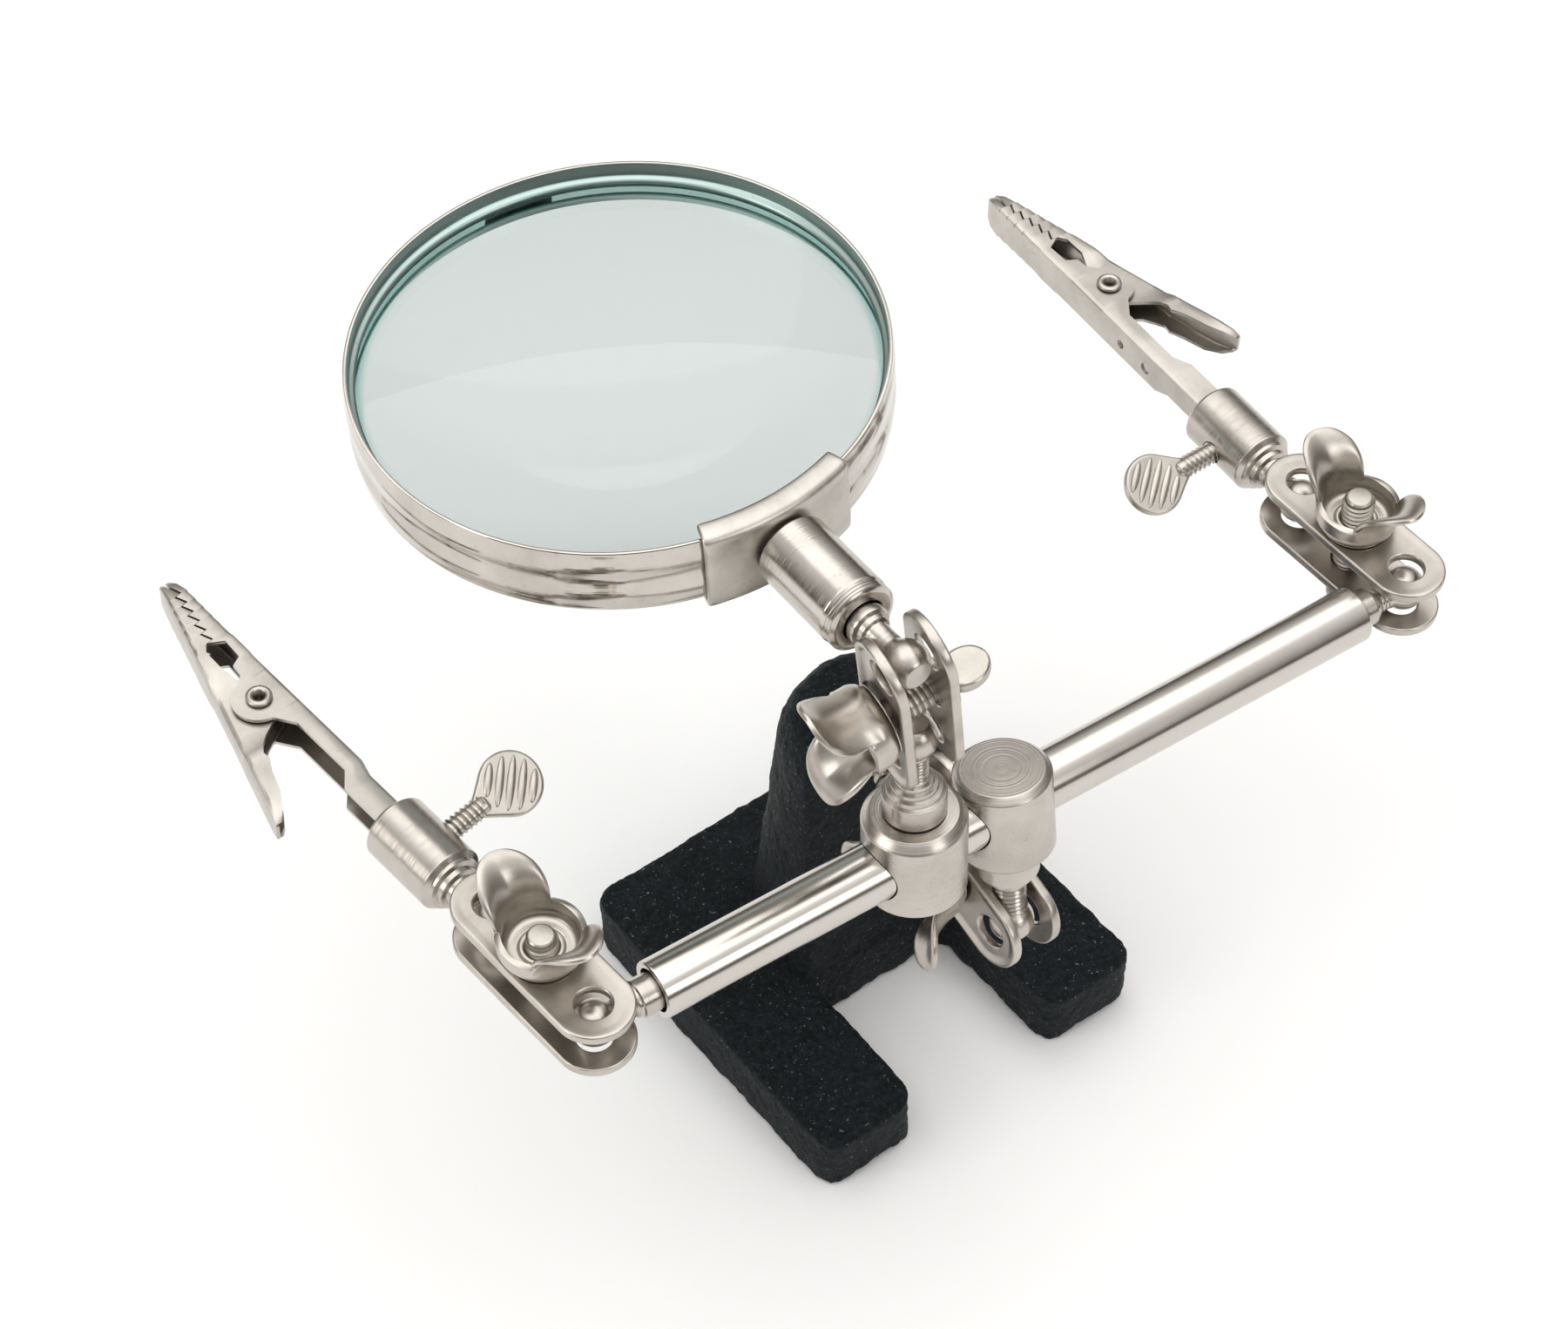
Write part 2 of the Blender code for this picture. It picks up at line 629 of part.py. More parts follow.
def spring(tag, world, parent):
    """A torsion spring on the rivet with a leg into each jaw."""
    wire, radius, turns, per_turn = 0.22, 1.65, 3.0, 14
    v, u = RIVET_AT
    curve = bpy.data.curves.new(tag + "_clip_spring", "CURVE")
    curve.dimensions = "3D"
    curve.bevel_depth = wire * MM
    curve.bevel_resolution = 1
    curve.use_fill_caps = True
    count = int(turns * per_turn) + 1
    points = [(v - radius, u - 6.0, -1.0)]
    for i in range(count):
        a = math.pi - 2 * math.pi * i / per_turn
        points.append((v + radius * math.cos(a), u + radius * math.sin(a), -1.0 + 2.0 * i / (count - 1)))
    points.append((v - radius + 2.2, u + 4.6, 1.0))
    spline = curve.splines.new("POLY")
    spline.points.add(len(points) - 1)
    for spot, (x, y, z) in zip(spline.points, points):
        spot.co = (x * MM, y * MM, z * MM, 1)
    obj = bpy.data.objects.new(tag + "_clip_spring", curve)
    bpy.context.scene.collection.objects.link(obj)
    return keep(to_mesh(obj), STEEL, world, parent)


def make_clip(tag, ball, way, screw_way, head_way, jaw_side, parent):
    """Socket, thumb screw and spring clip; jaw_side points to the moving jaw."""
    tilt = pivot(tag + "_socket_tilt", frame(ball, UP, way), parent)
    make_socket(tag, frame(ball, way, UP), screw_way, tilt)
    seat = ball + way * SCREW_AT
    turn = pivot(tag + "_screw_turn", frame(seat, screw_way, head_way), tilt)
    thumb_screw(tag, frame(seat, screw_way, head_way), turn)
    twist = pivot(tag + "_clip_twist", frame(ball + way * 11.5, way, UP), tilt)
    facing = frame(ball, jaw_side.cross(way), jaw_side)
    body = facing @ Matrix.Translation((-2.25, 0, 0))
    fixed_jaw(tag, body, twist)
    rivet(tag, body @ Matrix.Translation((RIVET_AT[0], RIVET_AT[1], 0)), twist)
    spring(tag, body, twist)
    axis = body @ Matrix.Translation((RIVET_AT[0], RIVET_AT[1], 0))
    opening = pivot(tag + "_jaw_open", axis, twist)
    moving_jaw(tag, body, opening)


# ---------------------------------------------------------------- assembly

def assemble():
    base = make_base()

    root = pivot("lower_stud_twist", frame(BASE_BALL + Vector((0, 9, 0)), (0, -1, 0), UP), base)
    lower_steps = [(NECK, 2.9), (NECK, 4.9), (2.1, 5.1), (2.1, 5.7), (2.8, 5.8), (2.8, 7.4), (2.0, 7.4),
                   (2.0, 15.0)]
    stud("base_ball_stud", lower_steps, NICKEL, frame(BASE_BALL, (0, 1, 0), UP), root)
    lower = make_joint("lower", BASE_BALL, LOWER_ARM, LOWER_BOLT, 8.2, 0.0, root)

    rod_way = Vector((math.cos(ROD_YAW), math.sin(ROD_YAW), 0))
    across = UP.cross(rod_way)
    base_up = (UP * math.cos(COLLAR_ROLL) + across * math.sin(COLLAR_ROLL)).normalized()
    mag_up = (UP * math.cos(MAG_ROLL) + across * math.sin(MAG_ROLL)).normalized()

    hang_ball = BASE_BALL + LOWER_ARM * ARM
    base_seat = hang_ball + base_up * STUD_HEIGHT
    hang = pivot("base_collar_tilt", frame(hang_ball, LOWER_BOLT, LOWER_ARM), lower)
    screw_stud("base_collar_stud", frame(hang_ball, base_up, rod_way), hang)
    swivel = pivot("base_collar_swivel", frame(base_seat, -base_up, rod_way), hang)
    collar("base_collar", BASE_COLLAR, 5.3, 6.9, (1.0, 1.1), frame(base_seat, -base_up, rod_way), swivel)

    left_ball = base_seat - rod_way * (COLLAR_PITCH + 42.5)
    right_ball = base_seat + rod_way * 58.95
    stand_off = 7.6
    slide = pivot("rod_slide", frame(base_seat, rod_way, UP), swivel)
    rod_length = (right_ball - left_ball).length - 2 * stand_off
    make_rod(left_ball + rod_way * stand_off, rod_length, rod_way, slide)

    mag_seat = base_seat - rod_way * COLLAR_PITCH
    mag_slide = pivot("magnifier_collar_slide", frame(mag_seat, -rod_way, UP), slide)
    collar("magnifier_collar", MAG_COLLAR, 5.5, 6.9, (1.0, 1.2), frame(mag_seat, mag_up, rod_way), mag_slide)
    mag_ball = mag_seat + mag_up * STUD_HEIGHT
    mag_turn = pivot("magnifier_stud_twist", frame(mag_seat + mag_up * 7, mag_up, rod_way), mag_slide)
    screw_stud("magnifier_collar_stud", frame(mag_ball, -mag_up, rod_way), mag_turn)
    mag = make_joint("magnifier", mag_ball, MAG_ARM, MAG_BOLT, 9.5, 0.0, mag_turn)
    handle_ball = mag_ball + MAG_ARM * ARM
    handle = pivot("handle_tilt", frame(handle_ball, MAG_BOLT, MAG_ARM), mag)
    handle_stud(frame(handle_ball, HANDLE_WAY, UP), handle)
    make_magnifier(handle_ball, HANDLE_WAY, handle)

    for tag, ball, away, arm, reach, clip_way, inward in (
            ("left", left_ball, -rod_way, LEFT_ARM, 6.8, LEFT_CLIP_WAY, 1),
            ("right", right_ball, rod_way, RIGHT_ARM, 8.4, RIGHT_CLIP_WAY, -1)):
        twist = pivot(tag + "_rod_stud_twist", frame(ball - away * stand_off, away, UP), slide)
        rod_stud(tag + "_rod_stud", frame(ball, -away, UP), twist)
        joint = make_joint(tag, ball, arm, UP, reach, 0.0, twist)
        side = clip_way.cross(UP) * inward
        screw_way = (side + UP * 0.16 * (1 if inward > 0 else -0.5)).normalized()
        head_way = Vector((-0.14, -0.52, 0.84)) if inward > 0 else Vector((-0.06, -0.53, 0.84))
        make_clip(tag, ball + arm * ARM, clip_way, screw_way, head_way, -side, joint)


clear_scene()
parts = new_collection("helping_hands_clamp")
cutters = new_collection("cutters")
assemble()
bpy.context.view_layer.update()
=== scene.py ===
import json
import math

import bpy
from mathutils import Matrix, Vector


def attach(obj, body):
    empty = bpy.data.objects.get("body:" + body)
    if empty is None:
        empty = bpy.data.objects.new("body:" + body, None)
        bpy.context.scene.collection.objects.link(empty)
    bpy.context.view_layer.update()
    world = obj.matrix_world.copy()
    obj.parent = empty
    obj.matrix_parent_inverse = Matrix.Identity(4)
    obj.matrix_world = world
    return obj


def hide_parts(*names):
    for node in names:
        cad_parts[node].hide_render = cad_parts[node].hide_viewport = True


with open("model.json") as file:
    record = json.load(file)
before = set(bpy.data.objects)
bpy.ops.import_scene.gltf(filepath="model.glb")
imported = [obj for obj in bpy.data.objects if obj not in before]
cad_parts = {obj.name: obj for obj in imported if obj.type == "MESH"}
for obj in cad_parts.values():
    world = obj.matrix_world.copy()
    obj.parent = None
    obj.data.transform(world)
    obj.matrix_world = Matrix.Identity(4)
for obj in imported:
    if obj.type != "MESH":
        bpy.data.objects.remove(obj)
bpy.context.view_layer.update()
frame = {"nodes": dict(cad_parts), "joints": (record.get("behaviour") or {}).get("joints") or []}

# ------------------------------------------------------------------ studio
# A pale paper floor under a big soft ceiling light, with smaller warm lights at the left and
# in front.  The room grows darker towards the floor, so that the plate has tones to reflect.

AZIMUTH = math.radians(-38.85)
ELEVATION = math.radians(49.65)
ROLL = math.radians(1.21)
STAND_BACK = 0.5023
LOOK_AT = Vector((0.0, 0.0393, 0.0))
SHIFT_RIGHT = 0.01433
SHIFT_UP = 0.01452
FOCAL_LENGTH = 86.57
FILM_WIDTH = 36.0
FLOOR_DROP = 0.0002

back = Vector((math.sin(AZIMUTH) * math.cos(ELEVATION),
               -math.cos(AZIMUTH) * math.cos(ELEVATION),
               math.sin(ELEVATION)))
level = Vector((math.cos(AZIMUTH), math.sin(AZIMUTH), 0))
over = back.cross(level)
right = level * math.cos(ROLL) + over * math.sin(ROLL)
up = over * math.cos(ROLL) - level * math.sin(ROLL)
turn = Matrix((right, up, back)).transposed().to_4x4()

camera_data = bpy.data.cameras.new("camera")
camera_data.lens = FOCAL_LENGTH
camera_data.sensor_width = FILM_WIDTH
camera_data.clip_start = 0.01
camera = bpy.data.objects.new("camera", camera_data)
camera.matrix_world = Matrix.Translation(
    LOOK_AT + back * STAND_BACK + right * SHIFT_RIGHT + up * SHIFT_UP) @ turn
bpy.context.scene.collection.objects.link(camera)
bpy.context.scene.camera = camera
bpy.context.scene.view_settings.view_transform = "Standard"

bpy.ops.object.select_all(action="DESELECT")
bpy.ops.mesh.primitive_plane_add(size=6.0, location=(0, 0, -FLOOR_DROP))
floor = bpy.context.object
floor.name = "floor"
floor_look = bpy.data.materials.new("floor_paper")
floor_look.use_nodes = True
paper = floor_look.node_tree.nodes["Principled BSDF"].inputs
paper["Base Color"].default_value = (0.93, 0.93, 0.93, 1)
paper["Roughness"].default_value = 0.9
floor.data.materials.append(floor_look)


def soft_light(name, place, aim, size, watts, tint):
    """A square area light that looks from place to aim."""
    data = bpy.data.lights.new(name, "AREA")
    data.shape = "SQUARE"
    data.size = size
    data.energy = watts
    data.color = tint
    light = bpy.data.objects.new(name, data)
    light.location = place
    light.rotation_mode = "QUATERNION"
    light.rotation_quaternion = (Vector(aim) - Vector(place)).to_track_quat("-Z", "Y")
    bpy.context.scene.collection.objects.link(light)


soft_light("ceiling", (0.1, 0.15, 0.95), (0, 0.02, 0.04), 1.2, 4.2, (1.0, 0.995, 0.985))
soft_light("left_wall", (-0.75, 0.15, 0.35), (0, 0, 0.05), 0.4, 1.6, (1.0, 0.98, 0.95))
soft_light("front_fill", (0.15, -0.9, 0.5), (0, 0, 0.05), 0.4, 1.2, (1.0, 0.99, 0.98))

world = bpy.data.worlds.new("room")
world.use_nodes = True
bpy.context.scene.world = world
room = world.node_tree
sky = room.nodes.new("ShaderNodeTexCoord")
split = room.nodes.new("ShaderNodeSeparateXYZ")
room.links.new(sky.outputs["Generated"], split.inputs["Vector"])
ramp = room.nodes.new("ShaderNodeValToRGB")
ramp.color_ramp.elements[0].position = 0.08
ramp.color_ramp.elements[0].color = (0.065, 0.055, 0.045, 1)
ramp.color_ramp.elements[1].position = 0.85
ramp.color_ramp.elements[1].color = (0.87, 0.865, 0.855, 1)
haze = ramp.color_ramp.elements.new(0.38)
haze.color = (0.30, 0.29, 0.275, 1)
room.links.new(split.outputs["Z"], ramp.inputs["Fac"])
room.links.new(ramp.outputs["Color"], room.nodes["Background"].inputs["Color"])
room.nodes["Background"].inputs["Strength"].default_value = 1.3


# ------------------------------------------------------------------ cast base
# One rough iron casting, painted black: a crossbar, two legs and an upright.  Its edges are
# soft from the sand mould, its faces uneven, and small bright specks are painted into its colour as
# painted glints.

MM = 0.001
CAST_VOXEL = 0.00043
CAST_WAVES = 0.00075
CAST_GRAINS = 0.00034
PAINT_HOLLOWS = (0.0025, 0.004, 0.0052, 1)
PAINT_RUBBED = (0.0175, 0.024, 0.0285, 1)
# The colour of the painted glints: a painted highlight on the black paint.
PAINTED_GLINT_COLOUR = (0.26, 0.28, 0.28, 1)
EVEN_UNDER = 40000


class Value:
    """A number that flows between shader nodes; arithmetic on it adds Math nodes."""

    def __init__(self, finish, socket):
        self.finish = finish
        self.socket = socket

    def __add__(self, other):
        return self.finish.maths("ADD", self, other)

    def __rsub__(self, other):
        return self.finish.maths("SUBTRACT", other, self)

    def __mul__(self, other):
        return self.finish.maths("MULTIPLY", self, other)

    def __pow__(self, other):
        return self.finish.maths("POWER", self, other)

    __radd__ = __add__
    __rmul__ = __mul__


class Finish:
    """A material under construction: node() adds any node, and set() fills the surface's sockets."""

    def __init__(self, name, **constants):
        self.material = bpy.data.materials.new(name)
        self.material.use_nodes = True
        self.tree = self.material.node_tree
        self.surface = self.tree.nodes["Principled BSDF"]
        for key, value in constants.items():
            self.surface.inputs[key.replace("_", " ")].default_value = value

    def feed(self, socket, value):
        if isinstance(value, Value):
            self.tree.links.new(value.socket, socket)
        else:
            socket.default_value = value

    def node(self, kind, settings, inputs, output=0):
        made = self.tree.nodes.new("ShaderNode" + kind)
        for key, value in settings.items():
            setattr(made, key, value)
        for key, value in inputs.items():
            self.feed(made.inputs[key], value)
        return Value(self, made.outputs[output])

    def maths(self, operation, a, b):
        return self.node("Math", {"operation": operation}, {0: a, 1: b})

    def place(self):
        return self.node("TexCoord", {}, {}, "Object")

    def noise(self, where, scale, detail=3.0, rough=0.55):
        inputs = {"Vector": where, "Scale": scale, "Detail": detail, "Roughness": rough}
        return self.node("TexNoise", {}, inputs, 0)

    def steps(self, value, stops):
        """A ramp from (place, grey) stops."""
        made = self.tree.nodes.new("ShaderNodeValToRGB")
        elements = made.color_ramp.elements
        while len(elements) < len(stops):
            elements.new(0.5)
        for element, (position, shade) in zip(elements, stops):
            element.position = position
            element.color = (shade, shade, shade, 1)
        self.feed(made.inputs["Fac"], value)
        return Value(self, made.outputs["Color"])

    def tint(self, amount, low, high):
        """A colour between two, by a number."""
        return self.node("Mix", {"data_type": "RGBA"}, {0: amount, 6: low, 7: high}, 2)

    def bump(self, height, strength, depth):
        inputs = {"Height": height, "Strength": strength, "Distance": depth}
        self.set(Normal=self.node("Bump", {}, inputs, "Normal"))

    def set(self, **values):
        for key, value in values.items():
            self.feed(self.surface.inputs[key.replace("_", " ")], value)


def joint(name):
    """A joint's place and direction with the tool at rest."""
    facts = next(j for j in frame["joints"] if j["name"] == name)
    return Vector(facts.get("pos_m", (0, 0, 0))), Vector(facts["axis"])


def stand(origin, z_way, x_hint):
    """The frame at origin whose Z is z_way and whose X leans to x_hint."""
    z = z_way.normalized()
    x = (x_hint - z * z.dot(x_hint)).normalized()
    place = Matrix((x, z.cross(x), z)).transposed().to_4x4()
    place.translation = origin
    return place


def only(piece):
    """Selects one piece and nothing else."""
    bpy.ops.object.select_all(action="DESELECT")
    bpy.context.view_layer.objects.active = piece
    piece.select_set(True)


def apply_all(piece):
    """Applies every modifier on a piece."""
    only(piece)
    for modifier in list(piece.modifiers):
        bpy.ops.object.modifier_apply(modifier=modifier.name)


def settle(piece, place, body, node, finish, angle=35):
    """Puts a piece modelled in millimetres in its place, and makes it part of the tool."""
    piece.data.transform(place @ Matrix.Scale(MM, 4))
    only(piece)
    bpy.ops.object.shade_smooth_by_angle(angle=math.radians(angle))
    if len(piece.data.polygons) < EVEN_UNDER:
        even = piece.modifiers.new("Even", "WEIGHTED_NORMAL")
        even.keep_sharp = True
        even.weight = 90
        apply_all(piece)
    piece.data.materials.clear()
    piece.data.materials.append(finish)
    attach(piece, body)
    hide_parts(node)


iron = Finish("black_painted_iron", Metallic=0.0, Specular_IOR_Level=0.17)
where = iron.place()
lumps = iron.noise(where, 260.0, 4.0, 0.6)
grain = iron.noise(where, 1500.0, 6.0, 0.7)
pits = iron.node("TexVoronoi", {}, {"Vector": where, "Scale": 900.0}, "Distance")
# Bright specks painted into the base colour as glints: a painted highlight.
painted_glint = iron.steps(iron.noise(where, 2600.0, 2.0, 0.5), [(0.0, 0.0), (0.67, 0.0), (0.73, 1.0)])
dust = iron.steps(iron.noise(where, 90.0, 5.0, 0.65), [(0.35, 0.0), (0.75, 1.0)])
mottle = iron.steps(grain, [(0.40, 0.0), (0.62, 1.0)])
paint = iron.tint(mottle * 0.75 + dust * 0.25, PAINT_HOLLOWS, PAINT_RUBBED)
iron.set(Base_Color=iron.tint(painted_glint * 0.7, paint, PAINTED_GLINT_COLOUR),
         Roughness=0.62 - 0.22 * lumps + 0.15 * grain)
iron.bump(lumps * 0.9 + grain * 0.8 + pits * 0.5, 1.0, 0.0006)

only(frame["nodes"]["base"])
bpy.ops.object.duplicate()
casting = bpy.context.object
casting.name = "casting"
casting.parent = None
casting.matrix_world = Matrix()
bpy.ops.object.mode_set(mode="EDIT")
bpy.ops.mesh.select_all(action="SELECT")
bpy.ops.mesh.remove_doubles(threshold=0.000001)
bpy.ops.object.mode_set(mode="OBJECT")
remesh = casting.modifiers.new("Skin", "REMESH")
remesh.mode = "VOXEL"
remesh.voxel_size = CAST_VOXEL
smooth = casting.modifiers.new("Soft", "SMOOTH")
smooth.factor = 0.5
smooth.iterations = 4
for label, size, strength in (("waves", 0.0055, CAST_WAVES), ("grains", 0.0011, CAST_GRAINS)):
    sand = bpy.data.textures.new(label, "CLOUDS")
    sand.noise_scale = size
    sand.noise_depth = 2
    uneven = casting.modifiers.new(label, "DISPLACE")
    uneven.texture = sand
    uneven.strength = strength
    uneven.mid_level = 0.55
    uneven.texture_coords = "LOCAL"
apply_all(casting)
for vert in casting.data.vertices:
    vert.co.z = max(0.0, vert.co.z)
casting.data.transform(Matrix.Scale(1 / MM, 4))
settle(casting, Matrix(), "base", "base", iron.material, 60)


# ------------------------------------------------------------------ ball studs
# Each is one turned piece: a polished ball with a small flat, a grooved neck, and steps up
# to the root that is screwed or pressed into its neighbour.  Turning leaves fine rings.

BALL = 2.7
BALL_FLAT = 1.6
NECK = 1.55
SEAT = 18.8
SOFT_EDGE = 0.12
NICKEL = (0.545, 0.505, 0.46)
TARNISH = (0.30, 0.26, 0.22, 1)


def eased(points, radius, closed=False):
    """The outline with its corners rounded."""
    count = len(points)
    made = []
    for i, here in enumerate(points):
        if not closed and i in (0, count - 1):
            made.append(here)
            continue
        before = Vector(points[i - 1])
        after = Vector(points[(i + 1) % count])
        spot = Vector(here)
        reach = min(radius, 0.4 * (before - spot).length, 0.4 * (after - spot).length)
        enter = spot + (before - spot).normalized() * reach
        leave = spot + (after - spot).normalized() * reach
        bend = (spot - enter).angle(leave - spot, 0)
        if bend < math.radians(12):
            made.append(here)
            continue
        for t in (0, 0.5, 1):
            mid = enter * (1 - t) ** 2 + spot * 2 * t * (1 - t) + leave * t ** 2
            made.append(tuple(mid))
    return made


def turned(name, profile, steps=64, closed=False, soft=SOFT_EDGE):
    """A lathe shape about Z from (radius, height) points in millimetres."""
    points = eased(profile, soft, closed)
    count = len(points)
    edges = [(i, i + 1) for i in range(count - 1)]
    if closed:
        edges.append((count - 1, 0))
    mesh = bpy.data.meshes.new(name)
    mesh.from_pydata([(r, 0, z) for r, z in points], edges, [])
    piece = bpy.data.objects.new(name, mesh)
    bpy.context.scene.collection.objects.link(piece)
    only(piece)
    bpy.ops.object.mode_set(mode="EDIT")
    bpy.ops.mesh.select_all(action="SELECT")
    bpy.ops.mesh.spin(steps=steps, angle=2 * math.pi, center=(0, 0, 0), axis=(0, 0, 1))
    bpy.ops.mesh.select_all(action="SELECT")
    bpy.ops.mesh.remove_doubles(threshold=0.0005)
    bpy.ops.mesh.normals_make_consistent(inside=False)
    bpy.ops.object.mode_set(mode="OBJECT")
    return piece


def arc(cx, cy, radius, start, end, steps):
    """Points on an arc, angles in degrees."""
    turn_by = [math.radians(start + (end - start) * i / steps) for i in range(steps + 1)]
    return [(cx + radius * math.cos(a), cy + radius * math.sin(a)) for a in turn_by]


def grooves(start, end, radius, pitch, depth):
    """The outline of a row of turned grooves from one height to another."""
    count = max(2, int(abs(end - start) / pitch))
    step = (end - start) / count
    made = []
    for k in range(count):
        made.append((radius, start + step * k))
        made.append((radius - depth, start + step * (k + 0.5)))
    made.append((radius, end))
    return made


def plated(name, place, tone, rough, ring=0.5, scale=9000.0, inside=0.0, painted_shade=(0, 0, 0, 1)):
    """Turned nickel plate: rings round the piece's own axis, faint stains, soft gloss; within
    the inside radius, in metres, it takes a painted shade colour and is rougher."""
    finish = Finish(name, Metallic=1.0)
    flip = {"Vector": finish.place(), "Location": place.translation, "Rotation": place.to_euler()}
    local = finish.node("Mapping", {"vector_type": "TEXTURE"}, flip)
    parts = finish.tree.nodes.new("ShaderNodeSeparateXYZ")
    finish.feed(parts.inputs[0], local)
    x, y, z = (Value(finish, parts.outputs[k]) for k in range(3))
    radius = (x * x + y * y) ** 0.5
    around = finish.node("CombineXYZ", {}, {0: radius, 2: z})
    rings = finish.noise(around, scale, 2.0, 0.6)
    broad = finish.noise(around, scale * 0.16, 2.0, 0.5)
    stain = finish.noise(finish.place(), 140.0, 4.0, 0.6)
    speck = finish.steps(finish.noise(finish.place(), 1300.0, 2.0, 0.5), [(0.66, 0.0), (0.76, 1.0)])
    dark = tuple(c * 0.80 for c in tone) + (1,)
    clean = finish.tint(finish.steps(stain, [(0.3, 0.0), (0.65, 1.0)]), dark, tone + (1,))
    # Within the inside radius the colour is a painted shade, tinted teal like the glass.
    in_painted_shade = finish.maths("LESS_THAN", radius, inside)
    clean = finish.tint(in_painted_shade, clean, painted_shade)
    finish.set(Base_Color=finish.tint(speck * 0.35, clean, TARNISH),
               Roughness=rough * (0.55 + 0.75 * rings + 0.45 * stain) + in_painted_shade * 0.30)
    finish.bump(rings * ring + broad * ring * 0.8 + stain * 0.15, 0.6, 0.00009)
    return finish.material


def ball_profile():
    """The ball from the flat at its far end to its neck."""
    tip = math.degrees(math.asin(BALL_FLAT / BALL))
    return [(0, -BALL * math.cos(math.radians(tip)))] + arc(0, 0, BALL, 270 + tip, 360 + 50, 14)


def stud(name, place, steps_up, body):
    """A ball stud: the ball, then the steps up to its root."""
    profile = ball_profile() + steps_up
    profile.append((0, steps_up[-1][1]))
    piece = turned(name + "_turned", list(reversed(profile)))
    settle(piece, place, body, name, plated(name, place, NICKEL, 0.20, 0.5), 28)


UP = Vector((0, 0, 1))

base_ball = joint("lower_swing")[0]
base_way = -joint("lower_stud_twist")[1]
stud("base_ball_stud", stand(base_ball, base_way, UP),
     [(NECK, 2.6)] + grooves(2.9, 4.9, NECK, 0.45, 0.18)
     + [(2.1, 5.1), (2.1, 5.7), (2.8, 5.8), (2.8, 7.4), (2.0, 7.4), (2.0, 15.0)], "lower_stud")

hang_ball = joint("base_collar_tilt")[0]
base_seat, base_down = joint("base_collar_swivel")
rod_way = joint("rod_slide")[1]
COLLAR_STEPS = [(2.2, 6.5), (2.2, 7.0), (2.7, 7.15), (2.7, 7.7), (3.2, 7.85), (3.2, 8.4),
                (3.7, 8.6), (3.7, SEAT - 7.2), (2.2, SEAT - 7.2), (2.2, SEAT - 4.1)]
stud("base_collar_stud", stand(hang_ball, -base_down, rod_way),
     [(2.05, 2.2)] + grooves(2.4, 6.3, 2.05, 0.6, 0.3) + COLLAR_STEPS, "base_collar_stud")

mag_ball = joint("magnifier_swing")[0]
mag_up = joint("magnifier_stud_twist")[1]
stud("magnifier_collar_stud", stand(mag_ball, -mag_up, rod_way),
     [(NECK + 0.05, 2.4)] + grooves(2.6, 6.3, NECK + 0.1, 0.52, 0.24) + COLLAR_STEPS,
     "magnifier_collar_stud")

handle_ball = joint("handle_tilt")[0]
handle_way = joint("magnifier_twist")[1]
stud("handle_stud", stand(handle_ball, handle_way, UP),
     [(1.5, 2.5), (1.5, 5.3), (1.95, 5.45), (1.95, 6.1), (2.5, 6.25), (2.5, 7.3), (2.3, 7.3),
      (2.3, 12.4)],
     "handle_stud")

for side, sign in (("left", 1), ("right", -1)):
    ball = joint(side + "_swing")[0]
    stud(side + "_rod_stud", stand(ball, rod_way * sign, UP),
         [(NECK, 2.5)] + grooves(2.8, 4.4, NECK, 0.45, 0.16)
         + [(2.0, 4.9), (2.0, 5.3), (2.3, 5.4), (2.3, 16.0)], side + "_rod_stud")


# ------------------------------------------------------------------ collars and rod
# Two solid turned collars of nickel-plated steel, drilled across for the rod, with a bright
# chamfer at the top.  The rod is a plain drawn tube, polished along its length.

ROD = 3.48
ROD_WALL = 0.85
BORE = 3.62
STUD_BORE = 2.35
COLLAR_TOP = 6.9
TUBE_SHADE = (0.53, 0.50, 0.46, 1)
TUBE_BRIGHT = (0.62, 0.59, 0.55, 1)


def cut(piece, tool):
    """Cuts a tool's shape out of a piece and removes the tool."""
    knife = piece.modifiers.new("Cut", "BOOLEAN")
    knife.operation = "DIFFERENCE"
    knife.solver = "EXACT"
    knife.object = tool
    apply_all(piece)
    bpy.data.objects.remove(tool)


def pin(radius, length, place=Matrix(), steps=48):
    """A cylinder used for cutting, in millimetres."""
    bpy.ops.object.select_all(action="DESELECT")
    bpy.ops.mesh.primitive_cylinder_add(vertices=steps, radius=radius, depth=length)
    tool = bpy.context.object
    tool.data.transform(place)
    return tool


def collar(name, place, radius, far, chamfer):
    """A turned collar, drilled across for the rod and down from the stud's end for its root."""
    profile = [(0, COLLAR_TOP), (radius - chamfer[0], COLLAR_TOP), (radius, COLLAR_TOP - chamfer[1]),
               (radius, -far + 0.8), (radius - 0.8, -far), (0, -far)]
    piece = turned(name + "_turned", profile, 128)
    cut(piece, pin(BORE, 5 * radius, Matrix.Rotation(math.radians(90), 4, "Y"), 96))
    cut(piece, pin(STUD_BORE, 2 * COLLAR_TOP, Matrix.Translation((0, 0, COLLAR_TOP)), 48))
    settle(piece, place, name, name, plated(name, place, NICKEL, 0.24, 0.9, 4200.0), 30)


collar("base_collar", stand(base_seat, base_down, rod_way), 5.75, 5.3, (1.0, 1.1))
mag_seat = mag_ball - mag_up * SEAT * MM
collar("magnifier_collar", stand(mag_seat, mag_up, rod_way), 6.05, 5.5, (1.0, 1.2))

bright = Finish("drawn_tube", Metallic=1.0)
along = stand(base_seat, rod_way, UP)
shift = {"Vector": bright.place(), "Location": along.translation, "Rotation": along.to_euler()}
grain_way = bright.node("Mapping", {"vector_type": "TEXTURE"}, shift)
drawn_out = {"Vector": grain_way, "Scale": (1.0, 1.0, 0.01)}
drawn = bright.node("Mapping", {"vector_type": "POINT"}, drawn_out)
lines = bright.noise(drawn, 5200.0, 2.0, 0.6)
smear = bright.noise(bright.place(), 120.0, 4.0, 0.6)
bright.set(Base_Color=bright.tint(smear, TUBE_SHADE, TUBE_BRIGHT),
           Roughness=0.10 + 0.08 * lines + 0.08 * smear)
bright.bump(lines, 0.12, 0.00003)

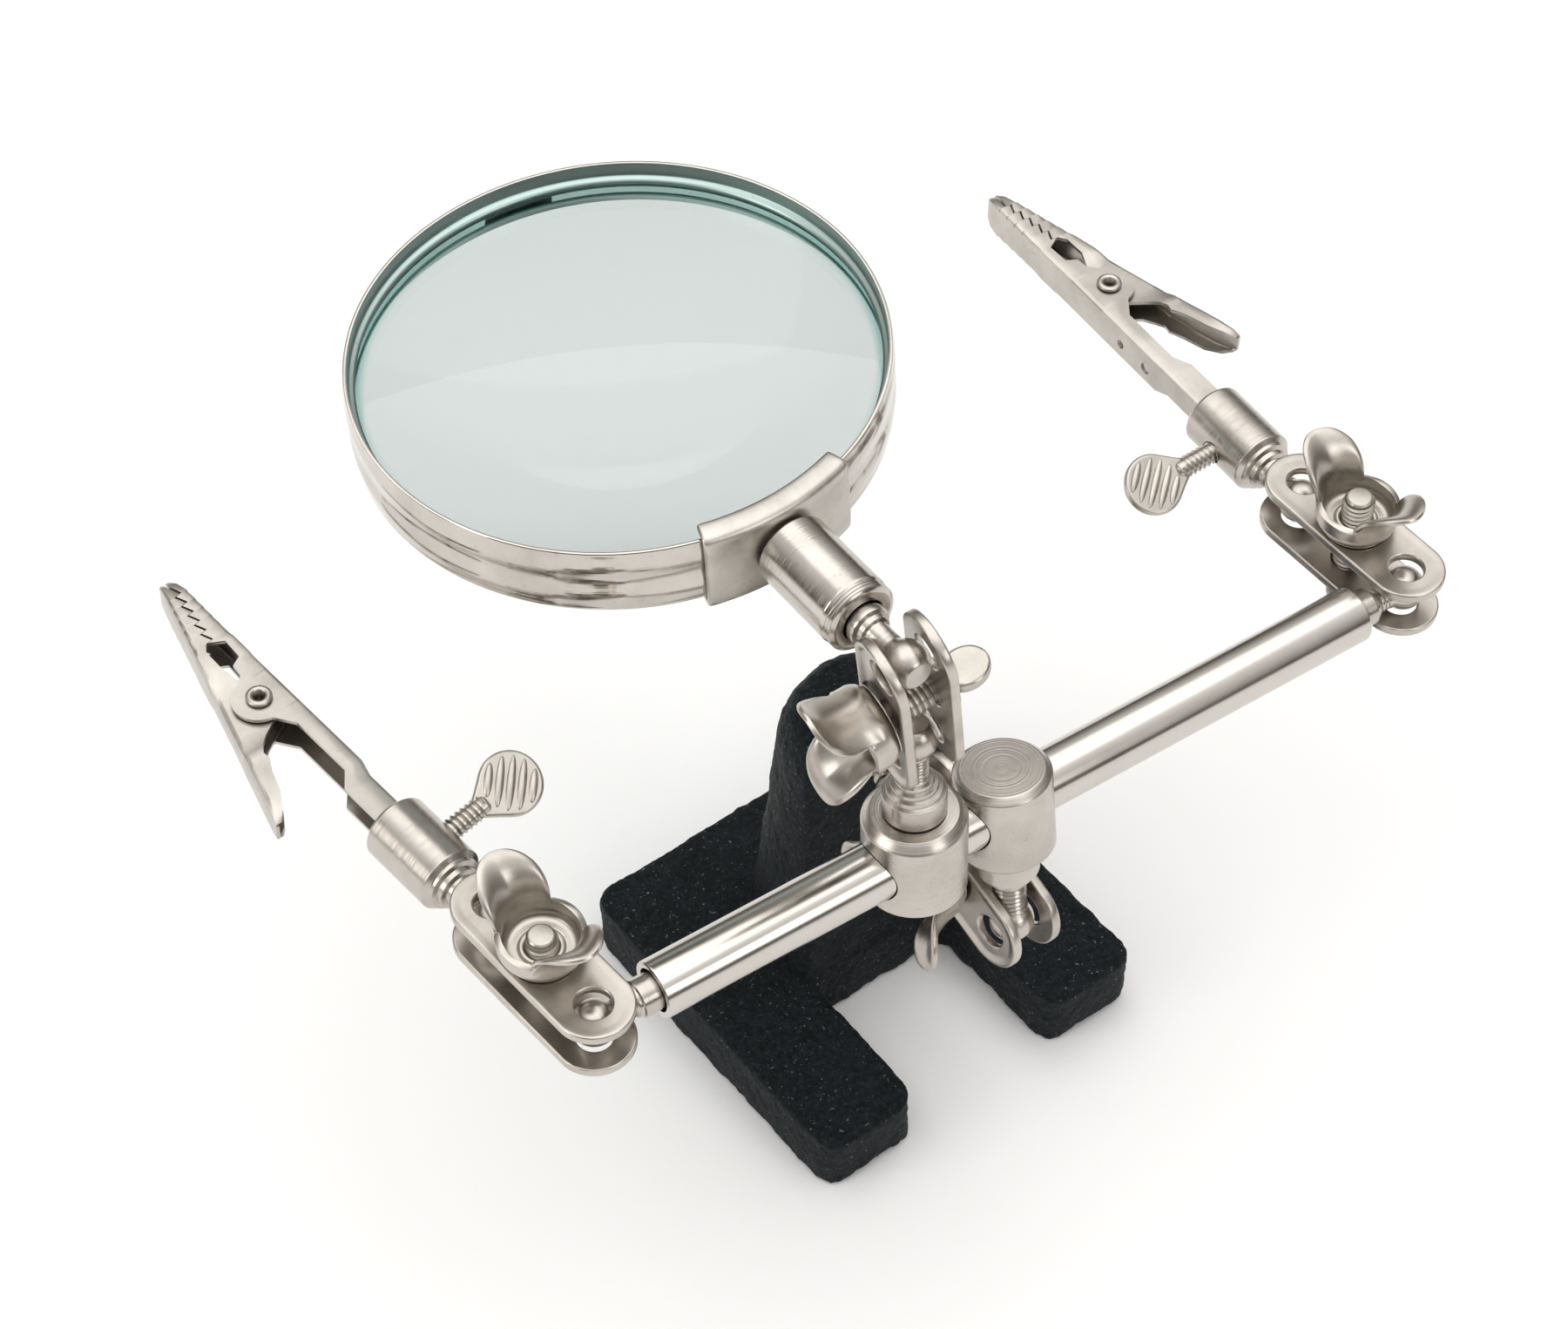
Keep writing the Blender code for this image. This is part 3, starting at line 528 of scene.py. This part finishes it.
left_end = joint("left_rod_stud_twist")[0]
right_end = joint("right_rod_stud_twist")[0]
length = (right_end - left_end).length / MM
tube_wall = [(ROD - ROD_WALL, length), (ROD, length), (ROD, 0), (ROD - ROD_WALL, 0)]
tube = turned("rod_tube_drawn", tube_wall, 96, True, 0.25)
settle(tube, stand(left_end, rod_way, UP), "rod", "rod_tube", bright.material, 40)


# ------------------------------------------------------------------ dog-bone joints
# Two stamped plates are drawn together by a screw with a spade head and a pressed wing nut.
# The plates' borders stand proud, and the balls sit in holes at their ends.

ARM = 17.65
PLATE_ROUND = 4.7
PLATE_LOW = 2.4
PLATE_THICK = 1.2
SEAT_HOLE = 2.1
BOLT = 1.95
PITCH = 0.7
THREAD_STEPS = 28
SPADE = 2.9
PITTED = (0.26, 0.22, 0.18, 1)


def pressed(name, tone, rough, scratch=0.5):
    """Nickel plate on pressed sheet: soft mottling, fine scratches and small dark pits."""
    finish = Finish(name, Metallic=1.0)
    spot = finish.place()
    mottle = finish.noise(spot, 210.0, 5.0, 0.6)
    wave = finish.noise(spot, 60.0, 2.0, 0.5)
    hair = finish.node("Mapping", {"vector_type": "POINT"},
                       {"Vector": spot, "Rotation": (0.4, 0.9, 0.3), "Scale": (1.0, 0.06, 1.0)})
    scratches = finish.noise(hair, 2600.0, 3.0, 0.6)
    pit = finish.steps(finish.noise(spot, 1500.0, 2.0, 0.5), [(0.68, 0.0), (0.78, 1.0)])
    shade = tuple(c * 0.78 for c in tone) + (1,)
    clean = finish.tint(finish.steps(mottle, [(0.3, 0.0), (0.62, 1.0)]), shade, tone + (1,))
    finish.set(Base_Color=finish.tint(pit * 0.4, clean, PITTED),
               Roughness=rough + 0.14 * mottle + 0.08 * scratches)
    finish.bump(mottle * 0.3 + wave * 0.5 + scratches * scratch * 0.25, 0.3, 0.00012)
    return finish.material


sheet_nickel = pressed("pressed_nickel", (0.55, 0.51, 0.462), 0.20)
bolt_steel = pressed("plated_screw", (0.52, 0.49, 0.44), 0.22, 0.8)


def bevelled(piece, width, segments=2, angle=35):
    """Breaks a piece's sharp edges."""
    edge = piece.modifiers.new("Edge", "BEVEL")
    edge.width = width
    edge.segments = segments
    edge.limit_method = "ANGLE"
    edge.angle_limit = math.radians(angle)
    apply_all(piece)


def joined(name, pieces):
    """Makes several meshes one object."""
    only(pieces[0])
    for other in pieces[1:]:
        other.select_set(True)
    bpy.ops.object.join()
    pieces[0].name = name
    return pieces[0]


def stamped_plate(name, facing, dish):
    """A stadium with a soft border, modelled lying flat and then turned to face outwards."""
    bpy.ops.object.select_all(action="DESELECT")
    bpy.ops.mesh.primitive_circle_add(vertices=64, radius=PLATE_ROUND, fill_type="NGON")
    piece = bpy.context.object
    piece.name = name
    for vert in piece.data.vertices:
        if abs(vert.co.x) > 0.01:
            vert.co.x += math.copysign(ARM / 2, vert.co.x)
    bpy.ops.object.mode_set(mode="EDIT")
    bpy.ops.mesh.select_all(action="SELECT")
    bpy.ops.mesh.extrude_region_move(TRANSFORM_OT_translate={"value": (0, 0, PLATE_THICK)})
    bpy.ops.mesh.inset(thickness=0.45, depth=0)
    bpy.ops.mesh.inset(thickness=0.5, depth=-0.4 * dish)
    bpy.ops.mesh.inset(thickness=0.5, depth=-0.6 * dish)
    bpy.ops.mesh.select_all(action="SELECT")
    bpy.ops.mesh.normals_make_consistent(inside=False)
    bpy.ops.object.mode_set(mode="OBJECT")
    for along_x, radius in ((-ARM / 2, SEAT_HOLE), (0, BOLT + 0.12), (ARM / 2, SEAT_HOLE)):
        cut(piece, pin(radius, 6, Matrix.Translation((along_x, 0, 0)), 40))
    bevelled(piece, 0.28, 3, 40)
    piece.data.transform(Matrix.Translation((0, 0, PLATE_LOW)))
    if facing < 0:
        piece.data.transform(Matrix.Rotation(math.pi, 4, "X"))
    return piece


def threaded(name, radius, low, high):
    """A screw thread: one helical ridge over a core with a chamfered tip."""
    core = turned(name, [(0, high), (radius - 0.55, high), (radius - 0.25, high - 0.35),
                         (radius - 0.25, low), (0, low)], 32)
    ridge = bpy.data.meshes.new(name + "_ridge")
    ridge.from_pydata([(radius - 0.42, 0, 0), (radius, 0, PITCH / 2), (radius - 0.42, 0, PITCH)],
                      [(0, 1), (1, 2)], [])
    helix = bpy.data.objects.new(name + "_ridge", ridge)
    bpy.context.scene.collection.objects.link(helix)
    screw = helix.modifiers.new("Helix", "SCREW")
    screw.axis = "Z"
    screw.steps = screw.render_steps = THREAD_STEPS
    screw.iterations = max(1, int((high - low - 0.8) / PITCH))
    screw.screw_offset = PITCH
    screw.use_normal_calculate = True
    apply_all(helix)
    helix.data.transform(Matrix.Translation((0, 0, low + 0.1)))
    return joined(name, [core, helix])


def spade_bolt(name, reach):
    """The joint's screw, with a flattened round head below the far plate."""
    seat = -(PLATE_LOW + PLATE_THICK + 0.1)
    shank = threaded(name, BOLT, seat, reach)
    disc = [(0, seat), (SPADE, seat), (SPADE, seat - 0.9), (0, seat - 0.9)]
    washer = turned(name + "_washer", disc, 40)
    bpy.ops.object.select_all(action="DESELECT")
    bpy.ops.mesh.primitive_cylinder_add(vertices=48, radius=SPADE, depth=1.7)
    spade = bpy.context.object
    spade.data.transform(Matrix.Diagonal((1.0, 0.84, 1.1, 1)))
    bevelled(spade, 0.5, 3)
    spade.data.transform(Matrix.Translation((0, 0, seat - 3.2)) @ Matrix.Rotation(math.pi / 2, 4, "Y"))
    return joined(name, [shank, washer, spade])


def strip(name, rows, thick, smooth_levels):
    """A formed sheet through a grid of points, given its thickness and, if asked, smoothed."""
    across = len(rows[0])
    points = [p for row in rows for p in row]
    faces = []
    for i in range(len(rows) - 1):
        for k in range(across - 1):
            a = i * across + k
            faces.append((a, a + 1, a + across + 1, a + across))
    mesh = bpy.data.meshes.new(name)
    mesh.from_pydata(points, [], faces)
    piece = bpy.data.objects.new(name, mesh)
    bpy.context.scene.collection.objects.link(piece)
    wall = piece.modifiers.new("Wall", "SOLIDIFY")
    wall.thickness = thick
    wall.offset = -1
    wall.use_even_offset = True
    if smooth_levels:
        edge = piece.modifiers.new("Edge", "BEVEL")
        edge.width = 0.2
        edge.segments = 1
        edge.limit_method = "ANGLE"
        edge.angle_limit = math.radians(50)
        soft = piece.modifiers.new("Soft", "SUBSURF")
        soft.levels = soft.render_levels = smooth_levels
    apply_all(piece)
    return piece


WING_WALL = [(2.15, 4.2), (3.0, 4.15), (3.8, 4.2), (4.35, 4.6), (4.65, 5.4)]
WING_RISE = [(0.1, 0.8), (0.25, 1.8), (0.6, 3.0), (1.15, 4.2), (1.9, 5.2), (2.8, 6.0), (3.7, 6.5),
             (4.45, 6.75)]
WING_WIDE = 3.45
WING_ROWS = 96
LIP = 0.26


def nut_rows():
    """A dished washer whose rim grows into a troughed, flaring wing on each side."""
    rows = []
    for i in range(WING_ROWS):
        a = 2 * math.pi * i / WING_ROWS
        x, y = math.cos(a), math.sin(a)
        row = [(r * x, r * y, z) for r, z in WING_WALL]
        base_x, base_y, base_z = row[-1]
        s = min(1.0, abs(base_y) / WING_WIDE)
        share = LIP + (1 - LIP) * (1 - s ** 4) ** 0.5
        sign = math.copysign(1.0, x)
        for out, rise in WING_RISE:
            part = rise / WING_RISE[-1][1]
            height = rise * share
            reach = out * share ** 1.6
            trough = 1.25 * s ** 1.4 * part * share
            flare = 0.30 * part - 0.10 * math.sin(math.pi * min(1.0, 2 * part))
            spread = 1 + flare * min(1.0, 1.6 * share - 0.4)
            lean = sign * (reach - trough) * min(1.0, 3 * abs(x))
            row.append((base_x + lean, base_y * spread, base_z + height))
        rows.append(row)
    return rows


def wing_nut(name):
    """A pressed wing nut: the formed sheet over a threaded boss."""
    rows = nut_rows()
    points = [p for row in rows for p in row]
    across = len(rows[0])
    faces = []
    for i in range(WING_ROWS):
        for k in range(across - 1):
            a = i * across + k
            b = ((i + 1) % WING_ROWS) * across + k
            faces.append((a, b, b + 1, a + 1))
    mesh = bpy.data.meshes.new(name)
    mesh.from_pydata(points, [], faces)
    wings = bpy.data.objects.new(name, mesh)
    bpy.context.scene.collection.objects.link(wings)
    wall = wings.modifiers.new("Wall", "SOLIDIFY")
    wall.thickness = 0.75
    wall.offset = 0.0
    soft = wings.modifiers.new("Soft", "SUBSURF")
    soft.levels = soft.render_levels = 1
    apply_all(wings)
    low = PLATE_LOW + PLATE_THICK + 0.1
    profile = [(BOLT, 4.9), (2.5, 4.9), (2.75, 4.5), (2.75, 3.9), (4.2, 3.9), (4.2, low), (BOLT, low)]
    boss = turned(name + "_boss", profile, 56, True, 0.2)
    return joined(name, [wings, boss])


# For each joint: what moves at its far ball, how far its screw reaches, how deep its plates are.
JOINTS = {"lower": ("base_collar_tilt", 8.2, 0.3), "magnifier": ("handle_tilt", 9.5, 0.45),
          "left": ("left_socket_tilt", 6.8, 0.06), "right": ("right_socket_tilt", 8.4, 0.06)}
for tag, (far_joint, reach, dish) in JOINTS.items():
    carrier = tag + "_joint"
    first, bolt_way = joint(tag + "_swing")
    second = joint(far_joint)[0]
    middle = stand((first + second) / 2, bolt_way, second - first)
    for which, facing in (("outer", 1), ("inner", -1)):
        node = "%s_joint_plate_%s" % (tag, which)
        plate = stamped_plate(node + "_stamped", facing, dish)
        settle(plate, middle, carrier, node, sheet_nickel, 30)
    bolt = spade_bolt(tag + "_spade_screw", reach)
    settle(bolt, middle, carrier, tag + "_joint_bolt", bolt_steel, 30)
    settle(wing_nut(tag + "_pressed_nut"), middle, tag + "_wing_nut", tag + "_joint_wing_nut",
           sheet_nickel, 40)


# ------------------------------------------------------------------ magnifier
# A deep rolled rim of bright strip holds a double convex lens between two beads.  A formed
# clip over its edge carries a hollow handle, which turns on the ball stud.

RIM = 30.9
RIM_WALL = 0.7
RIM_HALF = 4.5
RIM_INSIDE = 0.03025
RIM_TONE = (0.575, 0.54, 0.495)
# RIM_SHADED is a painted shade, tinted teal, for the rim's inner wall and beads.
RIM_SHADED = (0.44, 0.555, 0.53, 1)
LENS = 29.8
LENS_EDGE = 2.4
LENS_SPHERE = 166.0
LENS_REACH = 53.1
GLASS_CLEAR = (0.58, 0.632, 0.625, 1)
GLASS_EDGE = (0.22, 0.42, 0.385, 1)
TILT = math.radians(-2.8)
CLIP_GAP = 0.3
CLIP_SHEET = 0.8
CLIP_SPREAD = 17.5
CLIP_TONE = (0.58, 0.55, 0.505)
HANDLE = 4.4
HANDLE_TONE = (0.58, 0.545, 0.50)

lens_centre = handle_ball + handle_way * LENS_REACH * MM
lens_up = Matrix.Rotation(TILT, 3, handle_way) @ handle_way.cross(UP).cross(handle_way).normalized()
lens_place = stand(lens_centre, lens_up, handle_way.cross(UP))

inner = RIM - RIM_WALL
bead = LENS_EDGE / 2 + 0.45
swell = [RIM_HALF - 0.25 - (2 * RIM_HALF - 0.5) * i / 24 for i in range(25)]
section = [(RIM - 0.3, RIM_HALF)]
section += [(RIM - 0.22 * math.cos(math.pi * z / (RIM_HALF - 0.25)) ** 2, z) for z in swell]
section += [(RIM - 0.3, -RIM_HALF), (inner, -RIM_HALF), (inner, -bead - 1.0), (inner - 0.55, -bead - 0.75),
            (inner - 0.75, -bead - 0.4), (inner - 0.55, -bead - 0.08), (inner, -bead),
            (inner, bead), (inner - 0.55, bead + 0.08), (inner - 0.75, bead + 0.4),
            (inner - 0.55, bead + 0.75), (inner, bead + 1.0), (inner, RIM_HALF)]
rim = turned("rolled_rim", section, 192, True, 0.15)
settle(rim, lens_place, "magnifier", "magnifier_rim",
       plated("rim_plate", lens_place, RIM_TONE, 0.07, 0.2, 5000.0, RIM_INSIDE, RIM_SHADED), 40)


def lens_rise(radius):
    """Half the lens's thickness at a radius."""
    sag = math.sqrt(LENS_SPHERE ** 2 - radius ** 2) - math.sqrt(LENS_SPHERE ** 2 - LENS ** 2)
    return LENS_EDGE / 2 + sag


face = [(LENS * i / 24, lens_rise(LENS * i / 24)) for i in range(25)]
lens = turned("ground_lens", face + [(r, -z) for r, z in reversed(face)], 160, False, 0.0)
glass = Finish("lens_glass", Roughness=0.0, IOR=1.52, Transmission_Weight=1.0)
flip = {"Vector": glass.place(), "Location": lens_place.translation, "Rotation": lens_place.to_euler()}
local = glass.node("Mapping", {"vector_type": "TEXTURE"}, flip)
flat = glass.node("VectorMath", {"operation": "MULTIPLY"}, {0: local, 1: (1, 1, 0)})
from_axis = glass.node("VectorMath", {"operation": "LENGTH"}, {0: flat}, "Value")
edge = glass.steps(from_axis * (1 / (LENS * MM)), [(0.955, 0.0), (0.995, 1.0)])
glass.set(Base_Color=glass.tint(edge, GLASS_CLEAR, GLASS_EDGE))
settle(lens, lens_place, "magnifier", "magnifier_lens", glass.material, 40)

skin = RIM + CLIP_GAP + CLIP_SHEET
high = RIM_HALF + CLIP_GAP + CLIP_SHEET
clip_section = [(skin - 3.0, high), (skin - 1.6, high), (skin - 0.7, high - 0.12),
                (skin - 0.15, high - 0.6), (skin, high - 1.5), (skin, 2.0), (skin, 0), (skin, -2.0),
                (skin, -high + 1.5), (skin - 0.15, -high + 0.6), (skin - 0.7, -high + 0.12),
                (skin - 1.6, -high), (skin - 3.0, -high)]
rows = []
for i in range(17):
    a = math.radians(-90 + CLIP_SPREAD * (i / 8 - 1))
    rows.append([(r * math.cos(a), r * math.sin(a), z) for r, z in clip_section])
bracket = strip("rim_clip", rows, CLIP_SHEET, 1)
bevelled(bracket, 0.12, 2, 50)
settle(bracket, lens_place, "magnifier", "rim_bracket",
       pressed("brushed_clip", CLIP_TONE, 0.24, 1.2), 40)

reach = LENS_REACH - RIM - 2 * CLIP_GAP - CLIP_SHEET
handle_place = stand(handle_ball, handle_way, UP)
profile = [(0, reach + 1.0), (2.6, reach + 1.0), (2.6, reach), (HANDLE - 0.5, reach),
           (HANDLE, reach - 0.5), (HANDLE, 9.4)]
profile += grooves(9.2, 7.9, HANDLE - 0.1, 0.4, 0.16)
profile += [(HANDLE - 0.7, 7.6), (2.6, 7.6), (2.6, 13.0), (0, 13.0)]
handle = turned("handle_sleeve", profile, 96, False, 0.1)
settle(handle, handle_place, "magnifier", "handle_tube",
       plated("handle_plate", handle_place, HANDLE_TONE, 0.15, 0.3, 6000.0), 30)


# ------------------------------------------------------------------ clip sockets and thumb screws
# A turned cup with stepped rings behind its mouth ends in the ball; a thumb screw with a
# coarse-ribbed round head is screwed into its side and holds the clip's tail.

SOCKET = 4.1
MOUTH = 17.9
SCREW_AT = 12.6
PADDLE = 3.85
PADDLE_AT = 12.8
RIB_PITCH = 1.3
PADDLE_FACES = {"left": Vector((-0.14, -0.52, 0.84)), "right": Vector((-0.06, -0.53, 0.84))}

for side in ("left", "right"):
    ball = joint(side + "_socket_tilt")[0]
    way = joint(side + "_clip_twist")[1]
    screw_spot, screw_way = joint(side + "_screw_turn")
    place = stand(ball, way, UP)
    profile = ball_profile() + [(NECK, 2.4)] + grooves(2.7, 4.9, NECK, 0.45, 0.18)
    profile += [(2.1, 5.2), (2.1, 5.8), (2.75, 5.95), (2.75, 6.6), (3.4, 6.75), (3.4, 7.2), (SOCKET, 7.7),
                (SOCKET, MOUTH - 0.4), (SOCKET - 0.4, MOUTH), (3.1, MOUTH), (3.1, 10.4), (0, 10.4)]
    cup = turned(side + "_cup", list(reversed(profile)), 80)
    local = place.inverted().to_3x3() @ screw_way
    toward = stand(UP * SCREW_AT + local * 5, local, UP)
    cut(cup, pin(1.5, 8.0, toward, 40))
    settle(cup, place, side + "_socket", side + "_clip_socket",
           plated(side + "_cup", place, NICKEL, 0.20, 0.6), 30)

    shank = threaded(side + "_knurled_screw", 1.4, 2.7, 9.4)
    bpy.ops.object.select_all(action="DESELECT")
    bpy.ops.mesh.primitive_cylinder_add(vertices=96, radius=PADDLE, depth=1.2)
    head = bpy.context.object
    for vert in head.data.vertices:
        lean = max(0.0, vert.co.x / PADDLE)
        vert.co.x += 1.9 * lean ** 7
        vert.co.y *= 1 - 0.15 * lean ** 3
    bevelled(head, 0.4, 3)
    ribs = [head]
    for k in range(-2, 3):
        span = math.sqrt(3.3 ** 2 - (k * RIB_PITCH) ** 2)
        for face_side in (-1, 1):
            bpy.ops.object.select_all(action="DESELECT")
            bpy.ops.mesh.primitive_uv_sphere_add(segments=24, ring_count=16, radius=1.0)
            rib = bpy.context.object
            rib.data.transform(Matrix.Diagonal((span, 0.52, 0.34, 1)))
            rib.data.transform(Matrix.Translation((0, k * RIB_PITCH, face_side * 0.55)))
            rib.data.transform(Matrix.Rotation(math.radians(45), 4, "Z"))
            ribs.append(rib)
    paddle = joined(side + "_paddle", ribs)
    paddle.data.transform(Matrix.Translation((0, 0, PADDLE_AT)) @ Matrix.Rotation(math.pi / 2, 4, "Y"))
    screw_piece = joined(side + "_knurled_screw", [shank, paddle])
    screw_place = stand(screw_spot, screw_way, PADDLE_FACES[side])
    screw_name = side + "_thumb_screw"
    settle(screw_piece, screw_place, screw_name, screw_name, sheet_nickel, 35)


# ------------------------------------------------------------------ spring clips
# Two pressed jaws with interlocking teeth swing on a tubular rivet, closed by a coiled
# spring.  The fixed jaw's tail is a channel that sits in the socket.

TIP_AT = 63.0
RIVET_AT = (3.6, 41.0)
JAW_HALF = 2.45
JAW_WALL = 0.45
TOOTH_PITCH = 1.65
TOOTH_HALF = 0.42
FIRST_TOOTH = 51.6
SOCKET_GAP = 2.25

clip_plate = pressed("clip_plate", (0.555, 0.52, 0.475), 0.24)
spring_wire = pressed("spring_wire", (0.30, 0.28, 0.26), 0.3)


def channel_row(u, out, edge, half):
    """One section of a pressed jaw, from one cheek's free edge round the back to the other's."""
    way_in = 1 if edge > out else -1
    deep = abs(edge - out)
    corner = min(0.7, 0.3 * deep)
    turn_in = out + way_in * corner
    cheek = [(edge, half), (edge + (turn_in - edge) * 0.5, half), (turn_in, half),
             (out + way_in * corner * 0.3, half - corner * 0.3), (out, half - corner), (out, 0)]
    both = cheek + [(v, -w) for v, w in reversed(cheek[:-1])]
    return [(v, u, w) for v, w in reversed(both)]


def tooth_line(u):
    """How high the jaws meet, from where the teeth begin to the tip."""
    return 2.7 - 1.7 * (u - 51.4) / 9.9


def tooth_steps(gap):
    """Saw teeth along the line where the jaws meet."""
    rows = []
    for k in range(6):
        u = FIRST_TOOTH + TOOTH_PITCH * k
        rows.append((u, tooth_line(u) + TOOTH_HALF + gap))
        rows.append((u + 0.15, tooth_line(u) - TOOTH_HALF + gap))
    return rows


def ear_rows(ear, sign, angles):
    """The round ear of a cheek about the rivet."""
    v, u = RIVET_AT
    turns = [math.radians(d) for d in angles]
    return [(u + ear * math.sin(a), v + sign * ear * math.cos(a)) for a in turns]


def spine(u):
    """The outer line of the moving jaw."""
    return 1.75 + 0.29 * (TIP_AT + 1 - u)


def fixed_jaw(name):
    """The jaw with the tail, from sections of (place, back, free edge, half width)."""
    places = [(11.5, 0.4, 4.1, 1.9), (18.0, 0.4, 4.1, 1.9), (24.3, 0.4, 4.1, 1.9)]
    places += [(26.3, 0.0, 2.5, JAW_HALF), (31.0, 0.0, 2.5, JAW_HALF), (35.2, 0.0, 2.5, JAW_HALF)]
    places += [(at, 0.0, edge, JAW_HALF) for at, edge in ear_rows(3.3, 1, range(-80, 81, 10))]
    places += [(45.2, 0.0, 3.2, JAW_HALF), (46.9, 0.0, 3.0, JAW_HALF)]
    places += [(47.6, 0.0, 1.6, JAW_HALF), (50.6, 0.0, 1.4, JAW_HALF)]
    places += [(at, 0.0, edge, JAW_HALF) for at, edge in tooth_steps(0.0)]
    places += [(TIP_AT - 1.2, 0.15, 1.25, 2.2), (TIP_AT, 0.6, 1.2, 1.6)]
    return strip(name, [channel_row(*row) for row in places], JAW_WALL, 0)


def moving_jaw(name):
    """The sprung jaw and its thumb pad, from sections of (place, free edge, half width)."""
    inner_half = JAW_HALF - JAW_WALL - 0.25
    places = [(TIP_AT, 1.5, 1.6), (TIP_AT - 1.2, 1.6, 2.2)]
    places += [(at, edge, JAW_HALF) for at, edge in reversed(tooth_steps(0.3))]
    places += [(50.6, 4.1, JAW_HALF), (47.6, 4.2, JAW_HALF), (46.6, 3.9, 2.2), (45.4, 3.6, inner_half)]
    places += [(at, edge, inner_half) for at, edge in ear_rows(2.7, -1, range(75, -76, -15))]
    places += [(36.6, 6.0, inner_half), (35.4, 7.3, 2.1), (34.4, 7.9, 2.1), (33.4, 7.8, 2.1)]
    pad = [(31.6, 2.4, 2.2), (28.6, 2.2, 2.2), (26.6, 1.5, 1.9), (25.6, 0.9, 1.3)]
    places += [(at, spine(at) - deep, half) for at, deep, half in pad]
    rows = [channel_row(at, spine(at), edge, half) for at, edge, half in places]
    return strip(name, rows, JAW_WALL, 0)


for side in ("left", "right"):
    ball = joint(side + "_socket_tilt")[0]
    way = joint(side + "_clip_twist")[1]
    open_axis = -joint(side + "_jaw_open")[1]
    body_place = stand(ball, open_axis, way.cross(open_axis))
    body_place = body_place @ Matrix.Translation((-SOCKET_GAP * MM, 0, 0))
    fixed = fixed_jaw(side + "_pressed_jaw")
    moving = moving_jaw(side + "_lever_jaw")
    for jaw in (fixed, moving):
        cut(jaw, pin(1.1, 12.0, Matrix.Translation((RIVET_AT[0], RIVET_AT[1], 0)), 32))
        bevelled(jaw, 0.07, 2, 40)
    for hole, along_tail in ((0.8, 28.4), (0.6, 33.5)):
        through = Matrix.Translation((0, along_tail, 0)) @ Matrix.Rotation(math.pi / 2, 4, "Y")
        cut(fixed, pin(hole, 3.0, through, 24))
    settle(fixed, body_place, side + "_clip", side + "_clip_fixed_jaw", clip_plate, 24)
    settle(moving, body_place, side + "_moving_jaw", side + "_clip_moving_jaw",
           clip_plate, 24)
    out = JAW_HALF + 0.3
    upper = [(0.55, out - 0.6), (0.8, out + 0.25), (1.15, out + 0.38), (1.55, out + 0.2),
             (1.6, out - 0.1), (0.95, out - 0.2)]
    profile = upper + [(r, -z) for r, z in reversed(upper)]
    eyelet = turned(side + "_eyelet", profile, 48, True, 0.1)
    rivet_place = body_place @ Matrix.Translation((RIVET_AT[0] * MM, RIVET_AT[1] * MM, 0))
    settle(eyelet, rivet_place, side + "_clip", side + "_clip_rivet", clip_plate, 40)
    spring = frame["nodes"][side + "_clip_spring"].data
    spring.materials.clear()
    spring.materials.append(spring_wire)
